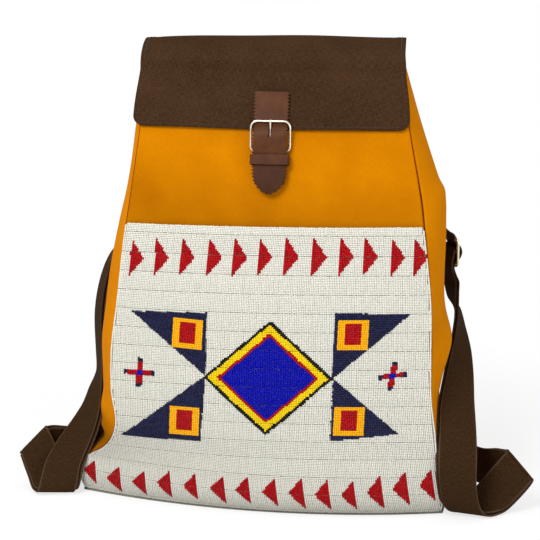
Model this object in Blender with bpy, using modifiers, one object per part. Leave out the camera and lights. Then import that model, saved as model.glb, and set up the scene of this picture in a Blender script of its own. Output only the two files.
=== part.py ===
# Beaded backpack: a wedge-shaped canvas bag with a bead-embroidered front, a buckled flap
# and two webbing shoulder straps that hang down its sides.
# Units are metres. +X is the bag's right as seen from the front, +Y its back, +Z up.
# The origin is on the floor under the middle of the base.

import math

import bmesh
import bpy
from mathutils import Matrix, Vector

MM = 0.001

# Clearances
GAP = 0.3 * MM
SOFT_GAP = 0.6 * MM
SEAM_INSET = 2.0 * MM
LINING_EASE = 3.0 * MM
LINING_DROP = 4.0 * MM

# Cloth, board, bead and leather thicknesses
WALL = 2.0 * MM
LINING_T = 0.8 * MM
BASE_T = 2.6 * MM
BASE_MARGIN = 1.6 * MM
BOARD_T = 2.0 * MM
FLAP_T = 2.0 * MM
FLAP_LINING_T = 1.0 * MM
BEAD_T = 1.6 * MM
LANE_RISE = 0.7 * MM
MOTIF_T = 0.9 * MM
LEATHER_T = 2.0 * MM
CHAPE_T = 1.5 * MM
KEEPER_T = 1.2 * MM
WEB_T = 2.0 * MM

# Horizontal sections of the bag, in millimetres: height; front-left seam x, y; front middle y;
# front-right seam x, y; widest x of the left and right gussets; back seams' x; back y
SECTIONS = (
    (0, -194, -18, -62, 183, -48, -188, 183, -168, 166, 68),
    (12, -198, -23, -74, 185, -58, -190, 185, -169, 167, 70),
    (42, -191, -29, -82, 181, -67, -187, 182, -165, 166, 72),
    (62, -168, -49, -83, 179, -68, -178, 179, -161, 165, 72),
    (90, -154, -67, -84, 177, -69, -174, 178, -158, 163, 72),
    (130, -157, -69, -84, 172, -69, -176, 180, -156, 160, 71),
    (170, -157, -66, -81, 171, -66, -175, 188, -154, 158, 70),
    (222, -151, -61, -76, 170, -61, -170, 181, -151, 156, 68),
    (300, -143, -46, -60, 161, -46, -155, 181, -146, 150, 63),
    (322, -140, -40, -54, 158, -40, -150, 180, -143, 148, 61),
    (345, -137, -35, -47, 154, -35, -146, 172, -142, 146, 60),
    (395, -131, -22, -31, 144, -22, -140, 155, -138, 141, 55),
    (450, -127, -5, -12, 135, -5, -133, 138, -132, 135, 49),
    (460, -126, -2, -9, 133, -2, -131, 135, -131, 133, 47),
)
RIM_Z = SECTIONS[-1][0] * MM
BACK_BULGE = 3.0 * MM

# Flap
FLAP_FRONT_Z = 397.0 * MM
FLAP_BACK_Z = 436.0 * MM
FLAP_TURN_Z = 452.0 * MM
FLAP_RISE = 24.0 * MM
FLAP_RISE_RIGHT = 4.5 * MM
FLAP_BACK_RISE = 5.0 * MM
FLAP_CROWN = 3.0 * MM
FLAP_HEM_LEFT = -138.0 * MM
FLAP_HEM_RIGHT = 144.0 * MM
FLAP_TURN_LEFT = -134.0 * MM
FLAP_TURN_RIGHT = 141.0 * MM
FLAP_BACK_LEFT = -131.0 * MM
FLAP_BACK_RIGHT = 134.5 * MM
FLAP_CORNER_R = 10.0 * MM
FLAP_LINING_MARGIN = 4.0 * MM

# Bead panel: lanes of beadwork from the base up to its top edge
BEAD_TOP_Z = 303.0 * MM
BEAD_BOTTOM_Z = 4.0 * MM
BEAD_LANES = 15

# Bead motifs, as x and z on the front of the bag
DIAMOND_X = 7.0 * MM
DIAMOND_Z = 151.5 * MM
DIAMOND_HALF_W = 66.0 * MM
DIAMOND_HALF_H = 59.5 * MM
DIAMOND_OUTLINE_W = 4.2 * MM
DIAMOND_YELLOW_W = 5.0 * MM
DIAMOND_RED_W = 3.2 * MM
WING_LEFT_W = 74.7 * MM
WING_RIGHT_W = 75.7 * MM
WING_TIP_GAP = 1.2 * MM
WING_HALF_H = 66.0 * MM
WING_LOW_HALF_H = 64.0 * MM
SQUARE_SIDE = 29.6 * MM
SQUARE_CENTRE_SIDE = 19.0 * MM
SQUARE_EDGE = 3.2 * MM
CROSS_ARM = 15.5 * MM
CROSS_BAR = 5.4 * MM
CROSS_LEFT_X = -126.0 * MM
CROSS_RIGHT_X = 132.0 * MM

# Rows of small triangles, fused to the panel
TOP_ROW_COUNT = 12
TOP_ROW_FIRST_X = -137.0 * MM
TOP_ROW_LAST_X = 151.0 * MM
TOP_ROW_LEFT_Z = 267.0 * MM
TOP_ROW_RISE = 7.0 * MM
TOP_TRIANGLE_W = 12.5 * MM
TOP_TRIANGLE_HALF_H = 17.5 * MM
BOTTOM_ROW_COUNT = 14
BOTTOM_ROW_FIRST_X = -178.0 * MM
BOTTOM_ROW_LAST_X = 175.0 * MM
BOTTOM_ROW_LEFT_Z = 24.0 * MM
BOTTOM_ROW_RISE = 12.0 * MM
BOTTOM_TRIANGLE_W = 15.0 * MM
BOTTOM_TRIANGLE_HALF_H = 15.5 * MM

# Clasp: the leather strap sewn to the flap, and the buckle, chape and keeper on the bag
CLASP_X = 4.5 * MM
HEEL_Z = 376.0 * MM
STRAP_W = 36.5 * MM
STRAP_TOP_V = 60.0 * MM
STRAP_END_V = -42.0 * MM
STRAP_TIP_LENGTH = 24.0 * MM
PINK_PITCH = 4.0 * MM
PINK_DEPTH = 1.1 * MM
SLOT_W = 3.4 * MM
SLOT_LOW_V = 13.0 * MM
SLOT_HIGH_V = 25.0 * MM
WIRE_R = 1.1 * MM
FRAME_SIDE_GAP = 0.5 * MM
FRAME_H = 30.0 * MM
FRAME_CORNER_R = 4.5 * MM
PRONG_R = 1.0 * MM
PRONG_CLEARANCE = 0.3 * MM
PRONG_TIP_PAST = 1.5 * MM
CHAPE_W = 30.0 * MM
CHAPE_LENGTH = 32.0 * MM
KEEPER_TOP_V = -4.8 * MM
KEEPER_H = 11.5 * MM
KEEPER_SIDE_GAP = 0.4 * MM

# Shoulder straps: webbing, sliders, lower rings and their tabs
WEB_W = 38.0 * MM
WEB_PAIR = 1.5 * MM
WEB_LIFT = 1.8 * MM
SLIDER_WIRE_R = 1.4 * MM
SLIDER_H = 30.0 * MM
SLIDER_CORNER_R = 3.0 * MM
RING_WIRE_R = 1.5 * MM
RING_PITCH = 12.0 * MM
TAB_LENGTH = 26.0 * MM
RING_SIDE_GAP = 1.4 * MM
YOKE_W = 176.0 * MM
YOKE_H = 22.0 * MM
YOKE_LOW_Z = 411.0 * MM
YOKE_T = 1.6 * MM

# Where the webbing runs, as (front edge, rear edge) pairs in millimetres, from the slider
# down the side of the bag, to the floor, back up, over a crease and round to the lower ring
RIGHT_RUN = (
    ((194, 24, 228), (180, 58, 226)),
    ((194, 18, 210), (185, 54, 205)),
    ((194, 11, 195), (195, 48, 193)),
    ((192, 3, 177), (201, 39, 176)),
    ((188, -10, 156), (208, 22, 156)),
    ((184, -26, 135), (212, -2, 135)),
    ((181, -44, 115), (214, -26, 114)),
    ((181, -61, 94), (217, -50, 92)),
    ((181, -73, 70), (219, -68, 68)),
    ((182, -75, 47), (219, -72, 44)),
    ((185, -69, 23), (222, -69, 21)),
    ((190, -60, 10), (228, -65, 8)),
    ((197, -50, 4), (235, -61, 4)),
    ((208, -42, 7), (245, -54, 4)),
    ((223, -37, 25), (253, -47, 6)),
    ((238, -36, 45), (266, -45, 20)),
    ((251, -35, 62), (277, -44, 35)),
    ((247, -29, 63), (272, -38, 34)),
    ((239, -21, 61), (252, -27, 25)),
    ((228, -8, 56), (231, -10, 18)),
    ((215, 16, 51), (218, 15, 13)),
    ((207, 44, 48), (207, 44, 10)),
    ((200, 72, 47), (200, 72, 9)),
)
LEFT_RUN = (
    ((-168, 52, 256), (-160, 89, 256)),
    ((-173, 44, 240), (-176, 82, 240)),
    ((-175, 37, 226), (-185, 73, 224)),
    ((-180, 32, 202), (-192, 67, 199)),
    ((-182, 27, 177), (-195, 62, 173)),
    ((-181, 21, 154), (-194, 56, 150)),
    ((-180, 13, 134), (-192, 49, 130)),
    ((-179, 5, 117), (-191, 41, 113)),
    ((-179, -3, 101), (-197, 30, 98)),
    ((-180, -11, 85), (-203, 19, 82)),
    ((-184, -20, 67), (-213, 4, 67)),
    ((-191, -30, 49), (-225, -13, 51)),
    ((-198, -35, 32), (-235, -28, 34)),
    ((-201, -37, 16), (-239, -38, 18)),
    ((-204, -36, 6), (-242, -43, 7)),
    ((-210, -31, 4), (-245, -43, 6)),
    ((-217, -24, 18), (-251, -34, 6)),
    ((-223, -19, 31), (-256, -28, 16)),
    ((-237, -14, 61), (-264, -23, 35)),
    ((-239, -7, 62), (-265, -15, 34)),
    ((-232, 1, 61), (-249, -5, 27)),
    ((-221, 9, 58), (-227, 6, 20)),
    ((-212, 24, 54), (-216, 23, 16)),
    ((-206, 44, 50), (-207, 43, 12)),
    ((-203, 57, 47), (-203, 57, 9)),
    ((-197, 72, 47), (-197, 72, 9)),
)
RIGHT_SLIDER = ((193, 24, 260), (178, 59, 260))
LEFT_SLIDER = ((-156, 72, 298), (-130, 99, 298))
RIGHT_RISE = (
    ((179, 36, 293), (161, 69, 288)),
    ((166, 58, 322), (143, 86, 304)),
    ((149, 73, 354), (123, 80, 327)),
)
LEFT_RISE = (
    ((-151, 75, 324), (-125, 100, 320)),
    ((-142, 76, 348), (-116, 92, 330)),
    ((-130, 76, 370), (-103, 81, 345)),
)
# On the back panel only x and z are set: the webbing lies on the cloth
RIGHT_BACK = (((117, 391), (91, 364)), ((87, 420), (61, 393)), ((77, 430), (51, 403)))
LEFT_BACK = (((-112, 391), (-86, 364)), ((-82, 420), (-56, 393)), ((-72, 430), (-46, 403)))
RIGHT_RING = (184.0 * MM, 77.5 * MM, 27.5 * MM)
LEFT_RING = (-181.0 * MM, 77.5 * MM, 27.5 * MM)

# Mesh densities
FRONT_COLUMNS = 10
SIDE_COLUMNS = 6
BODY_ROWS = 16
LINING_ROWS = 14
FLAP_COLUMNS = 8
RUN_STEPS = 2
LOW_LANES = 6


# Scene and materials

def clear_scene():
    for item in list(bpy.data.objects):
        bpy.data.objects.remove(item, do_unlink=True)


def new_collection(name):
    collection = bpy.data.collections.new(name)
    bpy.context.scene.collection.children.link(collection)
    return collection


def material(name, color, roughness, metallic=0.0):
    made = bpy.data.materials.new(name)
    made.use_nodes = True
    shader = made.node_tree.nodes["Principled BSDF"]
    shader.inputs["Base Color"].default_value = (*color, 1.0)
    shader.inputs["Roughness"].default_value = roughness
    shader.inputs["Metallic"].default_value = metallic
    return made


clear_scene()
BAG = new_collection("beaded_backpack")
CUTTERS = new_collection("cutters")

MUSTARD = material("mustard_canvas", (0.75, 0.27, 0.005), 0.85)
BROWN = material("brown_canvas", (0.065, 0.032, 0.018), 0.9)
GREY = material("grey_canvas", (0.23, 0.22, 0.19), 0.85)
COTTON = material("lining_cotton", (0.45, 0.36, 0.24), 0.9)
BOARD = material("fibre_board", (0.30, 0.22, 0.13), 0.8)
IVORY = material("ivory_beads", (0.78, 0.77, 0.70), 0.35)
NAVY = material("navy_beads", (0.018, 0.014, 0.075), 0.3)
YELLOW = material("yellow_beads", (0.85, 0.62, 0.01), 0.3)
ORANGE = material("orange_beads", (1.0, 0.42, 0.01), 0.3)
RED = material("red_beads", (0.50, 0.008, 0.015), 0.3)
BLUE = material("blue_beads", (0.006, 0.004, 0.45), 0.3)
LEATHER = material("brown_leather", (0.115, 0.038, 0.022), 0.5)
METAL = material("pale_gold_metal", (0.80, 0.72, 0.55), 0.25, 1.0)
WEBBING = material("brown_webbing", (0.050, 0.024, 0.012), 0.9)


def add_object(name, mesh, look, collection=None):
    made = bpy.data.objects.new(name, mesh)
    (collection or BAG).objects.link(made)
    if look is not None:
        made.data.materials.append(look)
    return made


# Form of the bag

def blend_value(column, height):
    """One column of the sections at a height in millimetres, along a smooth curve."""
    heights = [row[0] for row in SECTIONS]
    values = [row[column] for row in SECTIONS]
    last = len(heights) - 1
    index = 0
    while index < last - 1 and height > heights[index + 1]:
        index += 1
    step = heights[index + 1] - heights[index]
    share = (height - heights[index]) / step

    def slope(at):
        if at == 0:
            return (values[1] - values[0]) / (heights[1] - heights[0])
        if at == last:
            return (values[last] - values[last - 1]) / (heights[last] - heights[last - 1])
        below = (values[at] - values[at - 1]) / (heights[at] - heights[at - 1])
        above = (values[at + 1] - values[at]) / (heights[at + 1] - heights[at])
        low = heights[at] - heights[at - 1]
        high = heights[at + 1] - heights[at]
        return (below * high + above * low) / (low + high)

    a = slope(index) * step
    b = slope(index + 1) * step
    start = values[index]
    end = values[index + 1]
    cubic = 2 * start - 2 * end + a + b
    square = 3 * end - 3 * start - 2 * a - b
    return cubic * share ** 3 + square * share ** 2 + a * share + start


def section(z):
    """The bag's section at height z, in metres."""
    height = z / MM
    names = ("xl", "yl", "ym", "xr", "yr", "gl", "gr", "bl", "br", "yb")
    return {name: blend_value(k + 1, height) * MM for k, name in enumerate(names)}


def arch(share):
    """A low arch from 0 at both ends to 1 in the middle."""
    return 4.0 * share * (1.0 - share)


def front(u, z):
    s = section(z)
    x = s["xl"] + (s["xr"] - s["xl"]) * u
    y = s["yl"] + (s["yr"] - s["yl"]) * u
    return Vector((x, y - ((s["yl"] + s["yr"]) / 2 - s["ym"]) * arch(u), z))


def front_share(x, z):
    s = section(z)
    return (x - s["xl"]) / (s["xr"] - s["xl"])


def back(u, z):
    s = section(z)
    return Vector((s["bl"] + (s["br"] - s["bl"]) * u, s["yb"] + BACK_BULGE * arch(u), z))


def back_share(x, z):
    s = section(z)
    return (x - s["bl"]) / (s["br"] - s["bl"])


def side(z, fx, fy, gx, bx, by, t):
    bulge = gx - (fx + (bx - fx) * 0.45)
    return Vector((fx + (bx - fx) * t + bulge * arch(t), fy + (by - fy) * t, z))


def left(t, z):
    s = section(z)
    return side(z, s["xl"], s["yl"], s["gl"], s["bl"], s["yb"], t)


def right(t, z):
    s = section(z)
    return side(z, s["xr"], s["yr"], s["gr"], s["br"], s["yb"], t)


def outward(surface, u, z, away):
    """Unit normal of a surface, turned to the side that away points to."""
    du = 0.004
    dz = 0.5 * MM
    high = min(z + dz, RIM_Z)
    low = max(z - dz, 0.0)
    across = surface(u + du, z) - surface(u - du, z)
    up = surface(u, high) - surface(u, low)
    normal = across.cross(up).normalized()
    return normal if normal.dot(away) > 0 else -normal


FRONT_WAY = Vector((0, -1, 0))
BACK_WAY = Vector((0, 1, 0))
LEFT_WAY = Vector((-1, 0, 0))
RIGHT_WAY = Vector((1, 0, 0))


def raised(surface, u, z, away, height):
    """A point that stands height proud of a surface."""
    return surface(u, z) + outward(surface, u, z, away) * height


# Builders

def shares(count, low=0.0, high=1.0):
    return [low + (high - low) * k / count for k in range(count + 1)]


def grid_object(name, columns, rows, place, look, thickness, offset, away=None):
    """A sheet of cloth: a grid laid on place(column, row), given its thickness.
    offset is Solidify's own: -1 grows the cloth inward from the laid surface."""
    bm = bmesh.new()
    nx = len(columns) - 1
    ny = len(rows) - 1
    bmesh.ops.create_grid(bm, x_segments=nx, y_segments=ny, size=0.5)
    for vertex in bm.verts:
        i = round((vertex.co.x + 0.5) * nx)
        j = round((vertex.co.y + 0.5) * ny)
        vertex.co = place(columns[i], rows[j])
    if away is not None:
        bm.normal_update()
        facing = sum((face.normal.dot(away) for face in bm.faces), 0.0)
        if facing < 0:
            bmesh.ops.reverse_faces(bm, faces=bm.faces)
    mesh = bpy.data.meshes.new(name)
    bm.to_mesh(mesh)
    bm.free()
    made = add_object(name, mesh, look)
    thicken(made, thickness, offset)
    for polygon in mesh.polygons:
        polygon.use_smooth = True
    return made


def thicken(made, thickness, offset):
    solid = made.modifiers.new("thickness", "SOLIDIFY")
    solid.thickness = thickness
    solid.offset = offset
    solid.use_even_offset = False


def outline_curve(name, outlines, thickness, look, frame=None, collection=None):
    """A flat piece: closed outlines filled on both sides and extruded to a thickness."""
    curve = bpy.data.curves.new(name, "CURVE")
    curve.dimensions = "2D"
    curve.fill_mode = "BOTH"
    curve.extrude = thickness / 2
    for points in outlines:
        spline = curve.splines.new("POLY")
        spline.points.add(len(points) - 1)
        for place, point in zip(spline.points, points):
            place.co = (point[0], point[1], 0.0, 1.0)
        spline.use_cyclic_u = True
    made = add_object(name, curve, look, collection)
    if frame is not None:
        made.matrix_world = frame
    return made


def wire_curve(name, points, radius, look, closed, frame=None, resolution=2):
    """A bent wire of round section through the points."""
    curve = bpy.data.curves.new(name, "CURVE")
    curve.dimensions = "3D"
    curve.bevel_depth = radius
    curve.bevel_resolution = resolution
    curve.use_fill_caps = not closed
    spline = curve.splines.new("POLY")
    spline.points.add(len(points) - 1)
    for place, point in zip(spline.points, points):
        place.co = (*point, 1.0)
    spline.use_cyclic_u = closed
    spline.use_smooth = True
    made = add_object(name, curve, look)
    if frame is not None:
        made.matrix_world = frame
    return made


def as_mesh(made):
    """The curve object turned into a welded mesh object of the same name and place."""
    bpy.context.view_layer.update()
    evaluated = made.evaluated_get(bpy.context.evaluated_depsgraph_get())
    mesh = bpy.data.meshes.new_from_object(evaluated)
    bm = bmesh.new()
    bm.from_mesh(mesh)
    bmesh.ops.remove_doubles(bm, verts=bm.verts, dist=0.005 * MM)
    bm.to_mesh(mesh)
    bm.free()
    name = made.name
    place = made.matrix_world.copy()
    home = made.users_collection[0]
    bpy.data.objects.remove(made, do_unlink=True)
    mesh.name = name
    solid = bpy.data.objects.new(name, mesh)
    home.objects.link(solid)
    solid.matrix_world = place
    return solid


def as_cutter(made):
    for home in list(made.users_collection):
        home.objects.unlink(made)
    CUTTERS.objects.link(made)
    made.hide_render = True
    made.display_type = "WIRE"
    return made


def boolean(made, cutter, operation):
    step = made.modifiers.new(cutter.name, "BOOLEAN")
    step.operation = operation
    step.solver = "EXACT"
    step.object = cutter
    return step


def rounded_rectangle(width, height, radius, steps=4):
    """Corner-rounded rectangle about the origin, anticlockwise."""
    points = []
    for cx, cy, start in ((1, 1, 0), (-1, 1, 90), (-1, -1, 180), (1, -1, 270)):
        for k in range(steps + 1):
            angle = math.radians(start + 90.0 * k / steps)
            x = cx * (width / 2 - radius) + radius * math.cos(angle)
            y = cy * (height / 2 - radius) + radius * math.sin(angle)
            points.append((x, y))
    return points


def hairpin(leg, bend_radius, thickness, near, far, steps=10):
    """Outline of a strip folded round a bar at the origin: legs run to -leg along the first
    axis, and settle at near (rear leg) and far (front leg) on the second axis."""
    def side_points(radius, grow):
        arc = []
        for k in range(steps + 1):
            angle = math.radians(-90.0 + 180.0 * k / steps)
            arc.append((radius * math.cos(angle), radius * math.sin(angle)))
        start = [(-leg, near - grow), (-4.0 * bend_radius, near - grow)]
        end = [(-4.0 * bend_radius, far + grow), (-leg, far + grow)]
        return start + arc + end

    outer = side_points(bend_radius + thickness, thickness / 2)
    inner = side_points(bend_radius, -thickness / 2)
    return outer + inner[::-1]


# Bag walls

def body_rows(low=BASE_T + GAP, high=RIM_Z, count=BODY_ROWS):
    """Heights for the rows of the walls, closer together near the base."""
    return [low + (high - low) * (k / count) ** 1.45 for k in range(count + 1)]


def front_panel():
    def place(u, z):
        s = section(z)
        inset = SEAM_INSET / 4 / (s["xr"] - s["xl"])
        return front(inset + (1 - 2 * inset) * u, z)

    rows = backing_rows() + upper_rows()
    grid_object("front_panel", shares(FRONT_COLUMNS), rows, place, MUSTARD, WALL, -1.0, FRONT_WAY)


def gusset(name, surface, way):
    def place(t, z):
        length = (surface(1.0, z) - surface(0.0, z)).length
        inset = (WALL + SEAM_INSET) / length
        return surface(inset + (1 - 2 * inset) * t, z)

    grid_object(name, shares(SIDE_COLUMNS), body_rows(), place, MUSTARD, WALL, -1.0, way)


def back_panel():
    grid_object("back_panel", shares(FRONT_COLUMNS // 2), body_rows(count=12), back,
                MUSTARD, WALL, -1.0, BACK_WAY)


def loop_at(z, inset):
    """The bag's outline at height z, moved inward by inset, anticlockwise from above."""
    points = [front(u, z) for u in shares(FRONT_COLUMNS)]
    points += [right(t, z) for t in shares(SIDE_COLUMNS)[1:-1]]
    points += [back(u, z) for u in shares(FRONT_COLUMNS // 2)[::-1]]
    points += [left(t, z) for t in shares(SIDE_COLUMNS)[1:-1][::-1]]
    moved = []
    count = len(points)
    for k, point in enumerate(points):
        before = (point - points[k - 1]).normalized()
        after = (points[(k + 1) % count] - point).normalized()
        turn = (before + after).normalized()
        inward = Vector((-turn.y, turn.x, 0.0))
        reach = inset / max(0.6, turn.dot(after))
        moved.append(point + inward * reach)
    return moved


def base_panel():
    outline = [(p.x, p.y) for p in loop_at(BASE_T, -BASE_MARGIN)]
    outline_curve("base_panel", [outline], BASE_T, GREY, Matrix.Translation((0, 0, BASE_T / 2)))


def base_board():
    low = BASE_T + GAP
    outline = [(p.x, p.y) for p in loop_at(low, WALL + 2.5 * MM)]
    outline_curve("base_board", [outline], BOARD_T, BOARD,
                  Matrix.Translation((0, 0, low + BOARD_T / 2)))


def lining():
    """The inner bag: a floor on the board and walls up to the rim."""
    low = BASE_T + BOARD_T + 2 * GAP
    inset = WALL + LINING_EASE
    heights = [low + (RIM_Z - LINING_DROP - low) * (k / LINING_ROWS) ** 1.3
               for k in range(LINING_ROWS + 1)]
    floor_inset = inset + 2.0 * MM
    floor = loop_at(low, floor_inset)
    count = len(floor)
    middle = Vector((0.0, 0.0, low))
    rings = [[middle + (p - middle) * share for p in floor] for share in (0.0, 0.5)]
    rings.append(floor)
    rings += [loop_at(z, inset) for z in heights[1:]]

    def place(i, j):
        return rings[j][i % count]

    made = grid_object("lining", list(range(count + 1)), list(range(len(rings))), place,
                       COTTON, LINING_T, 1.0)
    bm = bmesh.new()
    bm.from_mesh(made.data)
    bmesh.ops.remove_doubles(bm, verts=bm.verts, dist=0.01 * MM)
    bm.normal_update()
    lowest = min(bm.faces, key=lambda face: face.calc_center_median().z)
    if lowest.normal.z < 0:
        bmesh.ops.reverse_faces(bm, faces=bm.faces)
    bm.to_mesh(made.data)
    bm.free()


# Flap

FLAP_STACK = SOFT_GAP + FLAP_LINING_T + GAP + FLAP_T


def flap_edges(s):
    """Left and right x of the flap: s is 0 at the front hem, 1 at the front turn and 2 or more
    on the back."""
    edges = []
    for hem, turn, rear in ((FLAP_HEM_LEFT, FLAP_TURN_LEFT, FLAP_BACK_LEFT),
                            (FLAP_HEM_RIGHT, FLAP_TURN_RIGHT, FLAP_BACK_RIGHT)):
        over = min(max(s - 1.0, 0.0), 1.0)
        edges.append(hem + (turn - hem) * min(s, 1.0) + (rear - turn) * over)
    return edges


def flap_point(a, s, margin, height):
    """A point of the flap. a runs from 0 at the left to 1 at the right. s runs from 0 at the
    front hem to 1 at the front turn, to 2 at the back turn, to 3 at the edge on the back."""
    span = FLAP_TURN_Z - FLAP_FRONT_Z - margin
    if s <= 1.0:
        z = FLAP_FRONT_Z + margin + span * s
    elif s <= 2.0:
        z = FLAP_TURN_Z
    else:
        z = FLAP_TURN_Z + (FLAP_BACK_Z + margin - FLAP_TURN_Z) * (s - 2.0)
    low, high = flap_edges(s)
    below = z - FLAP_FRONT_Z - margin
    radius = FLAP_CORNER_R - margin * 0.5
    if s < 1.0 and below < radius:
        trim = radius - math.sqrt(max(0.0, radius ** 2 - (radius - below) ** 2))
        low += trim
        high -= trim
    x = low + margin + (high - low - 2 * margin) * a
    front_z = z if s <= 1.0 else FLAP_TURN_Z
    back_z = z if s > 2.0 else FLAP_TURN_Z
    ahead = raised(front, front_share(x, front_z), front_z, FRONT_WAY, height)
    behind = raised(back, back_share(x, back_z), back_z, BACK_WAY, height)
    if s <= 1.0:
        return Vector((x, ahead.y, ahead.z))
    if s >= 2.0:
        return Vector((x, behind.y, behind.z))
    angle = math.pi * (s - 1.0)
    swing = -math.cos(angle)
    y = (ahead.y + behind.y) / 2 + (behind.y - ahead.y) / 2 * swing
    rise = FLAP_RISE + FLAP_RISE_RIGHT * a + FLAP_BACK_RISE * swing + FLAP_CROWN * arch(a)
    rise += height - FLAP_STACK
    base = ahead.z + (behind.z - ahead.z) * (s - 1.0)
    return Vector((x, y, base + rise * math.sin(angle) ** 0.5))


def flap_rows():
    hem = [0.0, 0.04, 0.12, 0.5, 1.0]
    top = [1.02, 1.07, 1.16, 1.32, 1.55, 1.78, 1.91, 1.97]
    return hem + top + [2.0, 3.0]


def flap():
    def place(a, s):
        return flap_point(a, s, 0.0, FLAP_STACK)

    grid_object("flap", shares(FLAP_COLUMNS), flap_rows(), place, BROWN, FLAP_T, -1.0,
                Vector((0, -0.6, 1)))


def flap_lining():
    def place(a, s):
        return flap_point(a, s, FLAP_LINING_MARGIN, SOFT_GAP + FLAP_LINING_T)

    grid_object("flap_lining", shares(FLAP_COLUMNS), flap_rows(), place, COTTON,
                FLAP_LINING_T, -1.0, Vector((0, -0.6, 1)))


# Bead panel and its motifs

BEAD_LIFT = SOFT_GAP + BEAD_T
MOTIF_LIFT = BEAD_LIFT + LANE_RISE + SOFT_GAP + MOTIF_T


def lane_height():
    return (BEAD_TOP_Z - BEAD_BOTTOM_Z) / BEAD_LANES


def bead_rows():
    """Heights of the stitch lines between lanes and of the crests of the lanes."""
    return [BEAD_BOTTOM_Z + lane_height() * k / 2 for k in range(2 * BEAD_LANES + 1)]


def backing_rows():
    """The same heights on the cloth behind, where it bends most, and stitch lines above."""
    rows = bead_rows()
    return rows[:2 * LOW_LANES] + rows[2 * LOW_LANES::2]


def upper_rows():
    count = 6
    return [BEAD_TOP_Z + (RIM_Z - BEAD_TOP_Z) * (k + 1) / count for k in range(count)]


def lane_rise(z):
    share = ((z - BEAD_BOTTOM_Z) / lane_height()) % 1.0
    return LANE_RISE if 0.25 < share < 0.75 else 0.0


def bead_panel():
    def place(u, z):
        return raised(front, u, z, FRONT_WAY, BEAD_LIFT + lane_rise(z))

    made = grid_object("bead_panel", shares(FRONT_COLUMNS), bead_rows(), place, IVORY,
                       BEAD_T, -1.0, FRONT_WAY)
    boolean(made, triangle_row("top_triangles", top_triangles()), "UNION")
    boolean(made, triangle_row("bottom_triangles", bottom_triangles()), "UNION")


def top_triangles():
    """Triangles that point right, in a row that rises a little to the right."""
    outlines = []
    for k in range(TOP_ROW_COUNT):
        share = k / (TOP_ROW_COUNT - 1)
        x = TOP_ROW_FIRST_X + (TOP_ROW_LAST_X - TOP_ROW_FIRST_X) * share
        z = TOP_ROW_LEFT_Z + TOP_ROW_RISE * math.sin(math.pi * share * 0.75)
        high = z + TOP_TRIANGLE_HALF_H
        low = z - TOP_TRIANGLE_HALF_H
        outlines.append(((x, low), (x + TOP_TRIANGLE_W, z), (x, high), (x, z)))
    return outlines


def bottom_triangles():
    """Triangles that point left, in a row that rises towards the right."""
    outlines = []
    for k in range(BOTTOM_ROW_COUNT):
        share = k / (BOTTOM_ROW_COUNT - 1)
        x = BOTTOM_ROW_FIRST_X + (BOTTOM_ROW_LAST_X - BOTTOM_ROW_FIRST_X) * share
        z = BOTTOM_ROW_LEFT_Z + BOTTOM_ROW_RISE * share ** 2
        high = z + BOTTOM_TRIANGLE_HALF_H
        low = z - BOTTOM_TRIANGLE_HALF_H
        outlines.append(((x, low), (x, z), (x, high), (x - BOTTOM_TRIANGLE_W, z)))
    return outlines


def on_front(x, z, height):
    return raised(front, front_share(x, z), z, FRONT_WAY, height)


def prism(bm, outline, low, high):
    """A straight-sided block on an outline of x and z, from one height to another. Its faces
    fan out from the last point, so that they follow the bend of the cloth."""
    floor = [bm.verts.new(on_front(x, z, low)) for x, z in outline]
    roof = [bm.verts.new(on_front(x, z, high)) for x, z in outline]
    count = len(outline)
    for k in range(1, count - 1):
        bm.faces.new((floor[-1], floor[k], floor[k - 1]))
        bm.faces.new((roof[-1], roof[k - 1], roof[k]))
    for k in range(count):
        following = (k + 1) % count
        bm.faces.new((floor[k], floor[following], roof[following], roof[k]))


def block_object(name, outlines, low, high, look=None):
    bm = bmesh.new()
    for outline in outlines:
        prism(bm, outline, low, high)
    bmesh.ops.recalc_face_normals(bm, faces=bm.faces)
    mesh = bpy.data.meshes.new(name)
    bm.to_mesh(mesh)
    bm.free()
    return add_object(name, mesh, look)


def triangle_row(name, outlines):
    return as_cutter(block_object(name, outlines, BEAD_LIFT - BEAD_T * 0.5, MOTIF_LIFT))


def plate(name, outline, look):
    """A thin field of beads on the panel: its outline is convex, in x and z."""
    cell = 16.0 * MM
    xs = [p[0] for p in outline]
    zs = [p[1] for p in outline]
    nx = max(1, math.ceil((max(xs) - min(xs)) / cell))
    nz = max(1, math.ceil((max(zs) - min(zs)) / cell))
    bm = bmesh.new()
    bmesh.ops.create_grid(bm, x_segments=nx, y_segments=nz, size=0.5)
    for vertex in bm.verts:
        vertex.co.x = min(xs) + (max(xs) - min(xs)) * (vertex.co.x + 0.5)
        vertex.co.y = min(zs) + (max(zs) - min(zs)) * (vertex.co.y + 0.5)
        vertex.co.z = 0.0
    count = len(outline)
    middle = Vector((sum(xs) / count, sum(zs) / count, 0.0))
    for k in range(count):
        start = Vector((*outline[k], 0.0))
        along = Vector((*outline[(k + 1) % count], 0.0)) - start
        way = Vector((along.y, -along.x, 0.0)).normalized()
        if way.dot(middle - start) > 0:
            way = -way
        everything = bm.verts[:] + bm.edges[:] + bm.faces[:]
        bmesh.ops.bisect_plane(bm, geom=everything, plane_co=start, plane_no=way,
                               dist=0.02 * MM, clear_outer=True)
    bmesh.ops.remove_doubles(bm, verts=bm.verts, dist=0.05 * MM)
    bmesh.ops.triangulate(bm, faces=bm.faces)
    for vertex in bm.verts:
        vertex.co = on_front(vertex.co.x, vertex.co.y, MOTIF_LIFT)
    bm.normal_update()
    if sum(face.normal.y for face in bm.faces) > 0:
        bmesh.ops.reverse_faces(bm, faces=bm.faces)
    mesh = bpy.data.meshes.new(name)
    bm.to_mesh(mesh)
    bm.free()
    made = add_object(name, mesh, look)
    thicken(made, MOTIF_T, -1.0)
    return made


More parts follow.
